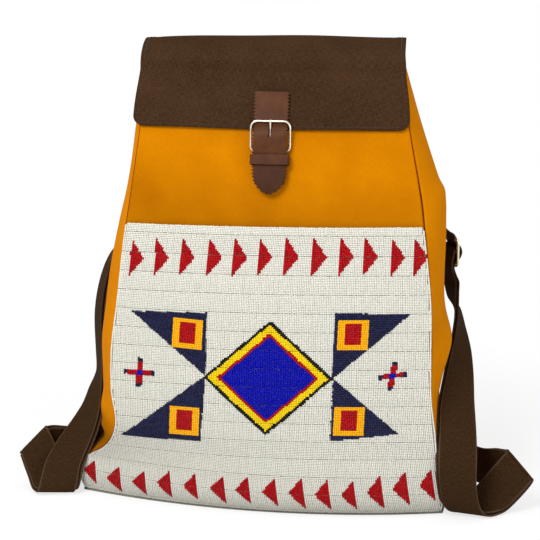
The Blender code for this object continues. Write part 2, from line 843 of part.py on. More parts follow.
def hole(made, name, outline):
    cutter = block_object(name, [outline], MOTIF_LIFT - 4 * MOTIF_T, MOTIF_LIFT + 4 * MOTIF_T)
    boolean(made, as_cutter(cutter), "DIFFERENCE")


def rhombus(inset):
    """The diamond's outline, moved inward by inset square to its sides."""
    slant = math.hypot(DIAMOND_HALF_W, DIAMOND_HALF_H)
    share = 1.0 - inset * slant / (DIAMOND_HALF_W * DIAMOND_HALF_H)
    w = DIAMOND_HALF_W * share
    h = DIAMOND_HALF_H * share
    x = DIAMOND_X
    z = DIAMOND_Z
    return ((x + w, z), (x, z + h), (x - w, z), (x, z - h))


def diamond():
    """Four nested fields: dark outline, yellow band, red line and blue field."""
    fields = (
        ("diamond_outline", NAVY, DIAMOND_OUTLINE_W),
        ("diamond_yellow_band", YELLOW, DIAMOND_YELLOW_W),
        ("diamond_red_line", RED, DIAMOND_RED_W),
    )
    inset = 0.0
    for name, look, width in fields:
        made = plate(name, rhombus(inset), look)
        inset += width
        hole(made, name + "_hole", rhombus(inset - GAP))
    plate("diamond_blue_field", rhombus(inset), BLUE)


def box_outline(x, z, width, height):
    return ((x - width / 2, z - height / 2), (x + width / 2, z - height / 2),
            (x + width / 2, z + height / 2), (x - width / 2, z + height / 2))


def wing(name, tip_x, reach, rise):
    """A navy right triangle beside the diamond, with a square set into it. Its far edge runs
    from tip_x outward by reach, and lies rise above or below the diamond's tip."""
    outer_x = tip_x + reach
    toward = math.copysign(1.0, reach)
    up = 1.0 if rise > 0 else -1.0
    start_z = DIAMOND_Z + up * WING_TIP_GAP
    far_z = DIAMOND_Z + rise
    outline = ((tip_x, start_z), (tip_x, far_z), (outer_x, far_z))
    body = plate("wing_" + name, outline, NAVY)
    offset = SQUARE_EDGE + SQUARE_SIDE / 2
    x = tip_x + toward * offset
    z = far_z - up * offset
    hole(body, "wing_hole_" + name,
         box_outline(x, z, SQUARE_SIDE + 2 * GAP, SQUARE_SIDE + 2 * GAP))
    square = plate("square_" + name, box_outline(x, z, SQUARE_SIDE, SQUARE_SIDE), ORANGE)
    grown = SQUARE_CENTRE_SIDE + 2 * GAP
    hole(square, "square_hole_" + name, box_outline(x, z, grown, grown))
    plate("square_centre_" + name,
          box_outline(x, z, SQUARE_CENTRE_SIDE, SQUARE_CENTRE_SIDE), RED)


def wings():
    left_tip = DIAMOND_X - DIAMOND_HALF_W - GAP
    right_tip = DIAMOND_X + DIAMOND_HALF_W + GAP
    wing("upper_left", left_tip, -WING_LEFT_W, WING_HALF_H)
    wing("lower_left", left_tip, -WING_LEFT_W, -WING_LOW_HALF_H)
    wing("upper_right", right_tip, WING_RIGHT_W, WING_HALF_H)
    wing("lower_right", right_tip, WING_RIGHT_W, -WING_LOW_HALF_H)


def cross(name, x):
    """A plain cross of two equal bars, joined in the middle."""
    upright = plate(name, box_outline(x, DIAMOND_Z, CROSS_BAR, 2 * CROSS_ARM), RED)
    bar_outline = box_outline(x, DIAMOND_Z, 2 * CROSS_ARM, CROSS_BAR)
    bar = block_object(name + "_bar", [bar_outline], MOTIF_LIFT - MOTIF_T, MOTIF_LIFT)
    boolean(upright, as_cutter(bar), "UNION")


# Clasp

def clasp_lean():
    """Lean of the front panel behind the clasp, as an angle from upright."""
    low = front(front_share(CLASP_X, HEEL_Z), HEEL_Z)
    top = HEEL_Z + FRAME_H
    high = front(front_share(CLASP_X, top), top)
    return math.atan2(high.y - low.y, high.z - low.z)


LEAN = clasp_lean()
UP = Vector((0.0, math.sin(LEAN), math.cos(LEAN)))
OUT = Vector((0.0, -math.cos(LEAN), math.sin(LEAN)))
ACROSS = Vector((1.0, 0.0, 0.0))
CLASP_ORIGIN = front(front_share(CLASP_X, HEEL_Z), HEEL_Z)


def panel_height(v):
    """How far the front panel stands above the clasp's own plane, at v up that plane."""
    z = HEEL_Z
    for _ in range(12):
        point = front(front_share(CLASP_X, z), z)
        z += v * UP.z - (point - CLASP_ORIGIN).dot(UP) * UP.z
    point = front(front_share(CLASP_X, z), z)
    return (point - CLASP_ORIGIN).dot(OUT)


def basis(first, second, third, origin):
    made = Matrix.Identity(4)
    for k, axis in enumerate((first, second, third, origin)):
        for row in range(3):
            made[row][k] = axis[row]
    return made


def clasp_point(v, w, x=0.0):
    return CLASP_ORIGIN + UP * v + OUT * w + ACROSS * x


HEEL_W = GAP + 2 * PRONG_R + PRONG_CLEARANCE + WIRE_R + GAP
LEG_REAR_W = GAP + CHAPE_T / 2
KEEPER_REAR_W = LEG_REAR_W + CHAPE_T / 2 + GAP + KEEPER_T / 2
LEG_FRONT_W = KEEPER_REAR_W + KEEPER_T / 2 + GAP + CHAPE_T / 2
STRAP_REST_W = LEG_FRONT_W + CHAPE_T / 2 + GAP + LEATHER_T / 2
STRAP_FLAP_W = FLAP_STACK + GAP + LEATHER_T / 2
BAR_W = STRAP_FLAP_W + LEATHER_T / 2 + WIRE_R + 2.2 * MM
FRAME_TILT = math.asin((BAR_W - HEEL_W) / FRAME_H)
PRONG_TIP_W = BAR_W + WIRE_R + 2 * PRONG_CLEARANCE + PRONG_R


def smooth_path(points, steps):
    """Points on a Catmull-Rom curve through the given vectors, ends included."""
    path = []
    last = len(points) - 1
    for k in range(last):
        p0 = points[max(k - 1, 0)]
        p1 = points[k]
        p2 = points[k + 1]
        p3 = points[min(k + 2, last)]
        for j in range(steps):
            t = j / steps
            path.append(0.5 * ((2 * p1) + (p2 - p0) * t + (2 * p0 - 5 * p1 + 4 * p2 - p3) * t ** 2
                               + (3 * p1 - p0 - 3 * p2 + p3) * t ** 3))
    path.append(points[-1])
    return path


def strap_line():
    """The strap's middle line from its sewn top to its tip, as (v, w): flat on the flap,
    behind the outer bar, out over the prong and the heel bar, and down through the keeper."""
    over_heel = HEEL_W + WIRE_R + PRONG_CLEARANCE + 2 * PRONG_R + GAP + LEATHER_T / 2
    bulge = over_heel + 3.2 * MM
    flat = STRAP_FLAP_W
    above = FRAME_H + 5.0 * MM
    halfway = (FRAME_H + STRAP_TOP_V) / 2
    spots = (
        (STRAP_TOP_V, panel_height(STRAP_TOP_V) + flat),
        (halfway, panel_height(halfway) + flat),
        (above, panel_height(above) + flat),
        (FRAME_H, panel_height(FRAME_H) + flat + 0.2 * MM),
        (26.0 * MM, panel_height(26.0 * MM) + flat + 0.7 * MM),
        (22.0 * MM, (flat + bulge) / 2 + 0.7 * MM),
        (18.5 * MM, bulge - 0.4 * MM),
        (14.0 * MM, bulge),
        (7.0 * MM, bulge - 1.2 * MM),
        (0.0, over_heel + 0.5 * MM),
        (KEEPER_TOP_V, STRAP_REST_W + 1.6 * MM),
        (KEEPER_TOP_V - KEEPER_H, STRAP_REST_W + 0.3 * MM + panel_height(KEEPER_TOP_V - KEEPER_H)),
        (-CHAPE_LENGTH, STRAP_REST_W + panel_height(-CHAPE_LENGTH)),
        (STRAP_END_V, STRAP_REST_W - 0.6 * MM + panel_height(STRAP_END_V)),
    )
    return smooth_path([Vector((v, w, 0.0)) for v, w in spots], 12)


def even_steps(path, step):
    """Points every step along a path, from its start."""
    made = [path[0]]
    left_over = step
    for start, end in zip(path, path[1:]):
        length = (end - start).length
        done = 0.0
        while length - done >= left_over:
            done += left_over
            made.append(start.lerp(end, done / length))
            left_over = step
        left_over -= length - done
    return made


def flap_strap():
    """The leather strap: pinked along both sides and round its tip, with a slot for the prong."""
    line = even_steps(strap_line(), PINK_PITCH / 2)
    count = len(line)
    total = (count - 1) * PINK_PITCH / 2
    half = STRAP_W / 2
    columns = [-1.0, -SLOT_W / STRAP_W, SLOT_W / STRAP_W, 1.0]

    def half_width(k):
        from_tip = total - k * PINK_PITCH / 2
        wide = half
        if from_tip < STRAP_TIP_LENGTH:
            share = 1.0 - from_tip / STRAP_TIP_LENGTH
            wide = half * (1.0 - share ** 2.3) ** 0.62
        if k in (0, count - 1):
            return max(wide, 3.0 * MM)
        return max(wide - (PINK_DEPTH if k % 2 else 0.0), 2.2 * MM)

    def place(c, k):
        wide = half_width(k)
        x = c * half if abs(c) < 1.0 else c * wide
        if abs(x) > wide:
            x = math.copysign(wide * 0.5, x)
        return clasp_point(line[k].x, line[k].y, x)

    made = grid_object("flap_strap", columns, list(range(count)), place, LEATHER,
                       LEATHER_T, 0.0, FRONT_WAY)
    bm = bmesh.new()
    bm.from_mesh(made.data)
    slot = []
    for face in bm.faces:
        middle = face.calc_center_median() - CLASP_ORIGIN
        if abs(middle.x) < 1.0 * MM and SLOT_LOW_V < middle.dot(UP) < SLOT_HIGH_V:
            slot.append(face)
    bmesh.ops.delete(bm, geom=slot, context="FACES")
    bm.to_mesh(made.data)
    bm.free()
    made.location = (CLASP_X - CLASP_ORIGIN.x, 0.0, 0.0)


def frame_basis():
    """The buckle frame's own axes: across, up the frame and out of it, at the heel bar."""
    up = (UP * math.cos(FRAME_TILT) + OUT * math.sin(FRAME_TILT)).normalized()
    out = ACROSS.cross(up)
    return basis(ACROSS, up, out, clasp_point(0.0, HEEL_W))


def buckle_frame():
    width = STRAP_W + 2 * FRAME_SIDE_GAP + 2 * WIRE_R
    outline = rounded_rectangle(width, FRAME_H, FRAME_CORNER_R, 3)
    points = [(x, y + FRAME_H / 2, 0.0) for x, y in outline]
    wire_curve("buckle_frame", points, WIRE_R, METAL, True, frame_basis())


def buckle_prong():
    """The prong: a hook closed round the heel bar and a straight tongue to the outer bar."""
    radius = WIRE_R + PRONG_CLEARANCE + PRONG_R
    angles = range(-50, -291, -20)
    points = []
    for angle in angles:
        turn = math.radians(angle)
        points.append((0.0, radius * math.sin(turn), radius * math.cos(turn)))
    points.append((0.0, FRAME_H * math.cos(FRAME_TILT) + PRONG_TIP_PAST, PRONG_TIP_W - HEEL_W))
    frame = basis(ACROSS, UP, OUT, clasp_point(0.0, HEEL_W))
    wire_curve("buckle_prong", points, PRONG_R, METAL, False, frame)


def buckle_chape():
    """The leather fold that holds the heel bar, slotted for the prong."""
    bend = WIRE_R + GAP
    points = hairpin(CHAPE_LENGTH, bend, CHAPE_T, LEG_REAR_W - HEEL_W, LEG_FRONT_W - HEEL_W)
    points = [(v, w + panel_height(v) if v < 0 else w) for v, w in points]
    frame = basis(UP, OUT, ACROSS, clasp_point(0.0, HEEL_W))
    made = as_mesh(outline_curve("buckle_chape", [points], CHAPE_W, LEATHER, frame))
    reach = bend + CHAPE_T + 1.0 * MM
    bpy.ops.mesh.primitive_cube_add(size=1.0)
    cutter = bpy.context.object
    cutter.name = "chape_slot"
    cutter.data.transform(Matrix.Diagonal((2 * reach + 2.0 * MM, 2 * reach, SLOT_W, 1.0)))
    cutter.matrix_world = frame @ Matrix.Translation((-1.0 * MM, 0.0, 0.0))
    boolean(made, as_cutter(cutter), "DIFFERENCE")


def keeper_loop():
    """The flat leather loop that holds the strap's end down on the chape."""
    middle = KEEPER_TOP_V - KEEPER_H / 2
    inner_w = STRAP_W + 2 * KEEPER_SIDE_GAP
    low = KEEPER_REAR_W + KEEPER_T / 2 + panel_height(middle)
    high = STRAP_REST_W + 1.6 * MM + LEATHER_T / 2 + 2 * GAP
    height = high - low
    outer = rounded_rectangle(inner_w + 2 * KEEPER_T, height + 2 * KEEPER_T, 1.6 * MM, 3)
    inner = rounded_rectangle(inner_w, height, 0.4 * MM, 2)
    frame = basis(ACROSS, OUT, -UP, clasp_point(middle, (low + high) / 2))
    outline_curve("keeper_loop", [outer, inner], KEEPER_H, LEATHER, frame)


# Shoulder straps

def pair(edges):
    return Vector(edges[0]) * MM, Vector(edges[1]) * MM


def lay_on_back(spot, height):
    """An edge point on the back panel, from its x and z."""
    x = spot[0] * MM
    z = spot[1] * MM
    return raised(back, back_share(x, z), z, BACK_WAY, height)


def web_stations(slider, run, rise, laid):
    """Edge pairs of the rise from the back to the slider, and of the run below it."""
    height = WEB_LIFT + WEB_T / 2
    upper = [tuple(lay_on_back(spot, height) for spot in spots) for spots in laid[::-1]]
    upper += [pair(edges) for edges in rise[::-1]]
    lower = [pair(edges) for edges in run]
    return upper, pair(slider), lower


def side_normal(a, b, ahead):
    """Normal of the webbing at an edge pair: square to its width and its run."""
    return (b - a).cross(ahead).normalized()


def smooth_pairs(pairs, steps):
    fronts = smooth_path([p[0] for p in pairs], steps)
    rears = smooth_path([p[1] for p in pairs], steps)
    return list(zip(fronts, rears))


def run_normals(pairs, way):
    """Normals along a run, kept on one side from its start, which faces way."""
    normals = []
    count = len(pairs)
    for k in range(count):
        low = pairs[max(k - 1, 0)]
        high = pairs[min(k + 1, count - 1)]
        ahead = (high[0] + high[1] - low[0] - low[1]) / 2
        normal = side_normal(pairs[k][0], pairs[k][1], ahead)
        reference = normals[-1] if normals else way
        normals.append(normal if normal.dot(reference) > 0 else -normal)
    return normals


def moved(edges, shift):
    return edges[0] + shift, edges[1] + shift


def ring_turn(middle, half, along, normal, radius, start, end, steps=8):
    """Edge pairs of a turn about a bar: along leaves the turn, start and end are degrees."""
    pairs = []
    for k in range(steps + 1):
        angle = math.radians(start + (end - start) * k / steps)
        centre = middle + along * (radius * math.sin(angle)) + normal * (radius * math.cos(angle))
        pairs.append((centre - half, centre + half))
    return pairs


def shoulder_strap(name, slider, run, rise, laid, ring, way):
    """One length of webbing. It comes down from the back over the slider's middle bar, runs
    down to the lower ring, turns round it and comes back up to end round that middle bar."""
    upper, bar, lower = web_stations(slider, run, rise, laid)
    middle = (bar[0] + bar[1]) / 2
    half = (bar[1] - bar[0]) / 2
    up = Vector((0.0, 0.0, 1.0))
    facing = up.cross(half).normalized()
    way = facing if facing.dot(way) > 0 else -facing
    wrap = SLIDER_WIRE_R + GAP + WEB_T / 2
    over = wrap + WEB_T + GAP

    def beside(height, out):
        spot = middle + up * height + way * out
        return spot - half, spot + half

    reach = SLIDER_H / 2
    threading = [beside(reach + 4 * MM, -wrap - 1.0 * MM), beside(reach - 2 * MM, -wrap + 0.3 * MM),
                 beside(6 * MM, over - 2.0 * MM), beside(0.0, over),
                 beside(-6 * MM, over - 2.0 * MM), beside(-reach + 2 * MM, -wrap + 0.3 * MM),
                 beside(-reach - 4 * MM, -wrap)]
    dense = smooth_pairs(lower, RUN_STEPS)
    normals = run_normals(dense, way)
    outer = [moved(edges, normal * WEB_PAIR) for edges, normal in zip(dense, normals)]
    inner = [moved(edges, -normal * WEB_PAIR) for edges, normal in zip(dense, normals)]
    down = smooth_pairs(upper + threading + outer[:1], 2)[:-1]

    ring_middle = Vector(ring)
    ring_half = Vector((0.0, 0.0, -WEB_W / 2))
    along = Vector((-math.copysign(1.0, ring[0]), 0.0, 0.0))
    radius = RING_WIRE_R + GAP + WEB_T / 2
    near_side = BACK_WAY if normals[-1].dot(BACK_WAY) > 0 else FRONT_WAY
    turn = ring_turn(ring_middle, -ring_half, along, near_side, radius, 0.0, 180.0)
    turn = [(edges[1], edges[0]) for edges in turn]
    lead = smooth_pairs([outer[-2], outer[-1], turn[0], turn[1]], 3)[3:7]
    back_lead = smooth_pairs([inner[-2], inner[-1], turn[-1], turn[-2]], 3)[3:7][::-1]

    end_turn = ring_turn(middle, half, up, way, wrap, 180.0, 10.0)
    foot = beside(-reach, -wrap - WEB_T - 2 * GAP)
    rising = smooth_pairs([inner[0], foot, end_turn[0]], 3)[1:-1]
    pairs = down + outer[:-1] + lead + turn[1:-1] + back_lead + inner[:-1][::-1] + rising + end_turn

    def place(c, k):
        return pairs[k][0].lerp(pairs[k][1], c)

    grid_object(name, shares(1), list(range(len(pairs))), place, WEBBING, WEB_T, 0.0)


def slider_frame(name, slider, way):
    """A flat wire frame with a middle bar across it."""
    bar = pair(slider)
    middle = (bar[0] + bar[1]) / 2
    across = (bar[1] - bar[0]).normalized()
    up = Vector((0.0, 0.0, 1.0))
    frame = basis(across, up, across.cross(up), middle)
    width = WEB_W + 2 * RING_SIDE_GAP + 2 * SLIDER_WIRE_R
    outline = rounded_rectangle(width, SLIDER_H, SLIDER_CORNER_R, 3)
    points = [(x, y, 0.0) for x, y in outline]
    made = as_mesh(wire_curve(name, points, SLIDER_WIRE_R, METAL, True, frame))
    made.data.materials.clear()
    made.data.materials.append(METAL)
    rod = wire_curve(name + "_bar", [(-width / 2, 0, 0), (width / 2, 0, 0)],
                     SLIDER_WIRE_R * 0.98, METAL, False, frame)
    boolean(made, as_cutter(as_mesh(rod)), "UNION")


def lower_ring(name, ring):
    """A rectangular wire ring, upright, with one bar in the webbing and one in its tab."""
    toward = -math.copysign(1.0, ring[0])
    along = Vector((toward, 0.0, 0.0))
    up = Vector((0.0, 0.0, 1.0))
    middle = Vector(ring) + along * RING_PITCH / 2
    frame = basis(along, up, along.cross(up), middle)
    height = WEB_W + 2 * RING_SIDE_GAP + 2 * RING_WIRE_R
    outline = rounded_rectangle(RING_PITCH, height, 3.0 * MM, 3)
    points = [(x, y, 0.0) for x, y in outline]
    wire_curve(name, points, RING_WIRE_R, METAL, True, frame)


def lower_tab(name, ring):
    """The webbing tab that holds the ring, folded round its bar and sewn to the back."""
    toward = -math.copysign(1.0, ring[0])
    outward_axis = Vector((-toward, 0.0, 0.0))
    bend = RING_WIRE_R + GAP
    middle = Vector(ring) - outward_axis * RING_PITCH
    end_x = middle.x - outward_axis.x * TAB_LENGTH
    heights = (middle.z - WEB_W / 2, middle.z, middle.z + WEB_W / 2)
    rear = max(back(back_share(end_x, z), z).y for z in heights)
    near = rear + SOFT_GAP + WEB_T / 2 - middle.y
    points = hairpin(TAB_LENGTH, bend, WEB_T, near, near + WEB_T + GAP)
    frame = basis(outward_axis, BACK_WAY, outward_axis.cross(BACK_WAY), middle)
    outline_curve(name, [points], WEB_W, WEBBING, frame)


def strap_yoke():
    """The canvas patch sewn over the upper ends of both straps."""
    height = WEB_LIFT + WEB_T + SOFT_GAP + YOKE_T

    def place(u, z):
        x = -YOKE_W / 2 + YOKE_W * u
        return raised(back, back_share(x, z), z, BACK_WAY, height)

    grid_object("strap_yoke", shares(8), [YOKE_LOW_Z, YOKE_LOW_Z + YOKE_H], place, BROWN,
                YOKE_T, -1.0, BACK_WAY)


def main():
    front_panel()
    gusset("gusset_left", left, LEFT_WAY)
    gusset("gusset_right", right, RIGHT_WAY)
    back_panel()
    base_panel()
    base_board()
    lining()
    flap()
    flap_lining()
    bead_panel()
    diamond()
    wings()
    cross("cross_left", CROSS_LEFT_X)
    cross("cross_right", CROSS_RIGHT_X)
    flap_strap()
    buckle_frame()
    buckle_prong()
    buckle_chape()
    keeper_loop()
    shoulder_strap("shoulder_strap_right", RIGHT_SLIDER, RIGHT_RUN, RIGHT_RISE, RIGHT_BACK,
                   RIGHT_RING, RIGHT_WAY)
    shoulder_strap("shoulder_strap_left", LEFT_SLIDER, LEFT_RUN, LEFT_RISE, LEFT_BACK,
                   LEFT_RING, LEFT_WAY)
    slider_frame("slider_right", RIGHT_SLIDER, RIGHT_WAY)
    slider_frame("slider_left", LEFT_SLIDER, LEFT_WAY)
    lower_ring("lower_ring_right", RIGHT_RING)
    lower_ring("lower_ring_left", LEFT_RING)
    lower_tab("lower_tab_right", RIGHT_RING)
    lower_tab("lower_tab_left", LEFT_RING)
    strap_yoke()


main()
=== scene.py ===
import math

import bmesh
import bpy
import numpy as np
from mathutils import Matrix, Vector


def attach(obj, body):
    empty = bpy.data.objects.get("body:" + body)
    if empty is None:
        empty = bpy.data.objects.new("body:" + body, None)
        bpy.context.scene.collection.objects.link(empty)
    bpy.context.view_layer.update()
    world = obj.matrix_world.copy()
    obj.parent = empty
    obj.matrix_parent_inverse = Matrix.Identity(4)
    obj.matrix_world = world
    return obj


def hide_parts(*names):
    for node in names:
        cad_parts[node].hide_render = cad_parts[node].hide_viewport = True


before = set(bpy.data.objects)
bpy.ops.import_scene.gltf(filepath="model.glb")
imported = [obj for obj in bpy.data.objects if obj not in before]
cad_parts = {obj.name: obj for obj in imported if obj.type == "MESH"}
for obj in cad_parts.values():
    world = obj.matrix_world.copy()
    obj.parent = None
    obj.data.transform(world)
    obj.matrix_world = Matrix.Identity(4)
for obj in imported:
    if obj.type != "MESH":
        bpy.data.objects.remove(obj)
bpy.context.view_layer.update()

MM = 0.001
SEED = np.random.default_rng(7)

# Form of the bag: the same sections as the model's, in millimetres. Each row is a height, then
# x and y of the front's left corner, y of its middle, x and y of its right corner, the widest x
# of both gussets, x of the back's corners and y of the back.
NAMES = ("xl", "yl", "ym", "xr", "yr", "gl", "gr", "bl", "br", "yb")
SECTIONS = np.array((
    (0, -194, -18, -62, 183, -48, -188, 183, -168, 166, 68),
    (12, -198, -23, -74, 185, -58, -190, 185, -169, 167, 70),
    (42, -191, -29, -82, 181, -67, -187, 182, -165, 166, 72),
    (62, -168, -49, -83, 179, -68, -178, 179, -161, 165, 72),
    (90, -154, -67, -84, 177, -69, -174, 178, -158, 163, 72),
    (130, -157, -69, -84, 172, -69, -176, 180, -156, 160, 71),
    (170, -157, -66, -81, 171, -66, -175, 188, -154, 158, 70),
    (222, -151, -61, -76, 170, -61, -170, 181, -151, 156, 68),
    (300, -143, -46, -60, 161, -46, -155, 181, -146, 150, 63),
    (322, -140, -40, -54, 158, -40, -150, 180, -143, 148, 61),
    (345, -137, -35, -47, 154, -35, -146, 172, -142, 146, 60),
    (395, -131, -22, -31, 144, -22, -140, 155, -138, 141, 55),
    (450, -127, -5, -12, 135, -5, -133, 138, -132, 135, 49),
    (460, -126, -2, -9, 133, -2, -131, 135, -131, 133, 47),
), float)
HEIGHTS = SECTIONS[:, 0]
RIM_Z = 460 * MM
BACK_BULGE = 3.0 * MM
GAP = 0.3 * MM
SOFT_GAP = 0.6 * MM
BASE_T = 2.6 * MM
BOARD_T = 2.0 * MM
WALL = 2.0 * MM
LINING_T = 0.8 * MM

# Folds of the gussets: height in millimetres, middle and spread in z, middle and spread in the
# share of the way from front to back, and how far that middle moves with z
GUSSET_FOLDS = {
    "gusset_right": ((2.6, 0.180, 0.018, 0.35, 0.30, 0.0), (-1.3, 0.122, 0.006, 0.25, 0.20, 0.0),
                     (1.7, 0.331, 0.007, 0.50, 0.40, 0.0), (1.4, 0.260, 0.100, 0.35, 0.10, 0.8),
                     (-1.2, 0.240, 0.140, 0.62, 0.10, 0.6), (1.0, 0.070, 0.020, 0.50, 0.40, 0.0)),
    "gusset_left": ((1.5, 0.170, 0.020, 0.40, 0.30, 0.0), (6.0, 0.092, 0.018, 0.40, 0.30, 0.0),
                    (3.6, 0.074, 0.005, 0.25, 0.20, 0.0), (-3.0, 0.060, 0.006, 0.25, 0.20, 0.0),
                    (1.2, 0.270, 0.100, 0.50, 0.12, -0.7)),
}
FOLD_LEAN_Z = 0.25

# Flap; FLAP_HEM, FLAP_TURN and FLAP_BACK are x of its left and right ends
FLAP_FRONT_Z = 397.0 * MM
FLAP_BACK_Z = 436.0 * MM
FLAP_TURN_Z = 452.0 * MM
FLAP_RISE = 24.0 * MM
FLAP_RISE_RIGHT = 4.5 * MM
FLAP_BACK_RISE = 5.0 * MM
FLAP_CROWN = 3.0 * MM
FLAP_HEM = (-138.0 * MM, 144.0 * MM)
FLAP_TURN = (-134.0 * MM, 141.0 * MM)
FLAP_BACK = (-131.0 * MM, 134.5 * MM)
FLAP_CORNER_R = 10.0 * MM
FLAP_T = 2.0 * MM
FLAP_LINING_T = 1.0 * MM
FLAP_STACK = SOFT_GAP + FLAP_LINING_T + GAP + FLAP_T
FLAP_WAY = (0, -0.6, 1)
FLAP_COLUMNS = 150
HEM_WIDTH = 9.0 * MM
EDGE_STITCH = 3.0 * MM

# Beadwork in millimetres: stitch lines between the lanes, then the beads
LANE_LINES = (303, 294.5, 274.5, 255.5, 236.5, 217.5, 198.5, 179.5, 160.5, 141.5, 122.5,
              103.5, 84.5, 66, 47, 27.5, 8, 4.2)
FULL_LANE = 19.0
BEAD_PITCH = 1.8
BEAD_R = 0.9
EDGE_BEAD = 0.9
PANEL_CORNER = 4.5
PANEL_CORNER_Z = 298.5
BEAD_ANGLES = np.radians((-78.0, -27.0, 27.0, 78.0))
# Painted shade at a bead's 12 points: dark at its ends and the foot of its sides, where beads meet
BEAD_PAINTED_SHADE = (1.0,) * 4 + (0.9, 0.0, 0.0, 0.9) + (1.0,) * 4

# Clasp: the buckle is on the strap's middle line; its heel bar lies at HEEL_Z
WIRE_STEP = 2.0 * MM
CLASP_X = 4.5 * MM
HEEL_Z = 376.0 * MM
STRAP_W = 36.5 * MM
STRAP_EASE = 0.3 * MM
STRAP_TIP = 22.0 * MM
STRAP_CROWN = 0.35 * MM
TOOTH_PITCH = 3.5 * MM
TOOTH_DEPTH = 2.4 * MM
SLOT_V = (13.0 * MM, 25.0 * MM)
LEATHER_T = 2.0 * MM
CHAPE_T = 1.5 * MM
CHAPE_SIDE_W = 13.2 * MM
CHAPE_LENGTH = 32.0 * MM
KEEPER_T = 1.2 * MM
KEEPER_TOP_V = -4.2 * MM
KEEPER_H = 10.2 * MM
KEEPER_BULGE = 1.6 * MM
WIRE_R = 1.1 * MM
PRONG_R = 1.0 * MM
FRAME_H = 30.0 * MM
FRAME_CORNERS = (6.5 * MM, 6.5 * MM, 4.5 * MM, 4.5 * MM)

# Shoulder straps; YOKE is its width, its height and z of its lower edge
WEB_W = 38.0 * MM
WEB_T = 2.0 * MM
WEB_PAIR = 1.5 * MM
WEB_SLIP = 2.8 * MM
WEB_LIFT = 1.8 * MM
SLIDER_R = 1.4 * MM
SLIDER_H = 30.0 * MM
WIRE_EASE = 2.8 * MM
RING_R = 1.5 * MM
RING_PITCH = 12.0 * MM
TAB_LENGTH = 26.0 * MM
YOKE = (176.0 * MM, 22.0 * MM, 411.0 * MM)
# Routes of both straps in millimetres, as pairs of edge points: down the side and along the
# floor, and from the slider up to the back
RIGHT_RUN = (
    ((194, 24, 228), (180, 58, 226)), ((194, 18, 210), (185, 54, 205)),
    ((194, 11, 195), (195, 48, 193)), ((192, 3, 177), (201, 39, 176)),
    ((188, -10, 156), (208, 22, 156)), ((184, -26, 135), (212, -2, 135)),
    ((181, -44, 115), (214, -26, 114)), ((181, -61, 94), (217, -50, 92)),
    ((181, -73, 70), (219, -68, 68)), ((182, -75, 47), (219, -72, 44)),
    ((185, -69, 23), (222, -69, 21)), ((190, -60, 10), (228, -65, 8)),
    ((197, -50, 4), (235, -61, 4)), ((208, -42, 7), (245, -54, 4)),
    ((223, -37, 25), (253, -47, 6)), ((238, -36, 45), (266, -45, 20)),
    ((251, -35, 62), (277, -44, 35)), ((247, -29, 63), (272, -38, 34)),
    ((239, -21, 61), (252, -27, 25)), ((228, -8, 56), (231, -10, 18)),
    ((215, 16, 51), (218, 15, 13)), ((207, 44, 48), (207, 44, 10)),
    ((200, 72, 47), (200, 72, 9)),
)
LEFT_RUN = (
    ((-168, 52, 256), (-160, 89, 256)), ((-173, 44, 240), (-176, 82, 240)),
    ((-175, 37, 226), (-185, 73, 224)), ((-180, 32, 202), (-192, 67, 199)),
    ((-182, 27, 177), (-195, 62, 173)), ((-181, 21, 154), (-194, 56, 150)),
    ((-180, 13, 134), (-192, 49, 130)), ((-179, 5, 117), (-191, 41, 113)),
    ((-179, -3, 101), (-197, 30, 98)), ((-180, -11, 85), (-203, 19, 82)),
    ((-184, -20, 67), (-213, 4, 67)), ((-191, -30, 49), (-225, -13, 51)),
    ((-198, -35, 32), (-235, -28, 34)), ((-201, -37, 16), (-239, -38, 18)),
    ((-204, -36, 6), (-242, -43, 7)), ((-210, -31, 4), (-245, -43, 6)),
    ((-217, -24, 18), (-251, -34, 6)), ((-223, -19, 31), (-256, -28, 16)),
    ((-237, -14, 61), (-264, -23, 35)), ((-239, -7, 62), (-265, -15, 34)),
    ((-232, 1, 61), (-249, -5, 27)), ((-221, 9, 58), (-227, 6, 20)),
    ((-212, 24, 54), (-216, 23, 16)), ((-206, 44, 50), (-207, 43, 12)),
    ((-203, 57, 47), (-203, 57, 9)), ((-197, 72, 47), (-197, 72, 9)),
)
RIGHT_SLIDER = ((193, 24, 260), (178, 59, 260))
LEFT_SLIDER = ((-156, 72, 298), (-130, 99, 298))
RIGHT_RISE = (
    ((177, 37, 287), (160, 70, 282)), ((166, 58, 322), (143, 86, 304)),
    ((149, 73, 354), (123, 80, 327)),
)
LEFT_RISE = (
    ((-151, 75, 324), (-125, 100, 320)), ((-142, 76, 348), (-116, 92, 330)),
    ((-130, 76, 370), (-103, 81, 345)),
)
# Where the straps lie on the back: x and z of both edges
RIGHT_BACK = (((117, 391), (91, 364)), ((87, 420), (61, 393)), ((77, 430), (51, 403)))
LEFT_BACK = (((-112, 391), (-86, 364)), ((-82, 420), (-56, 393)), ((-72, 430), (-46, 403)))
RIGHT_RING = (184.0 * MM, 77.5 * MM, 27.5 * MM)
LEFT_RING = (-181.0 * MM, 77.5 * MM, 27.5 * MM)

FRONT_WAY = np.array((0.0, -1.0, 0.0))
BACK_WAY = np.array((0.0, 1.0, 0.0))
LEFT_WAY = np.array((-1.0, 0.0, 0.0))
RIGHT_WAY = np.array((1.0, 0.0, 0.0))
UPWARD = np.array((0.0, 0.0, 1.0))


# Materials

def scaled(color, share):
    return tuple(v * share for v in color)


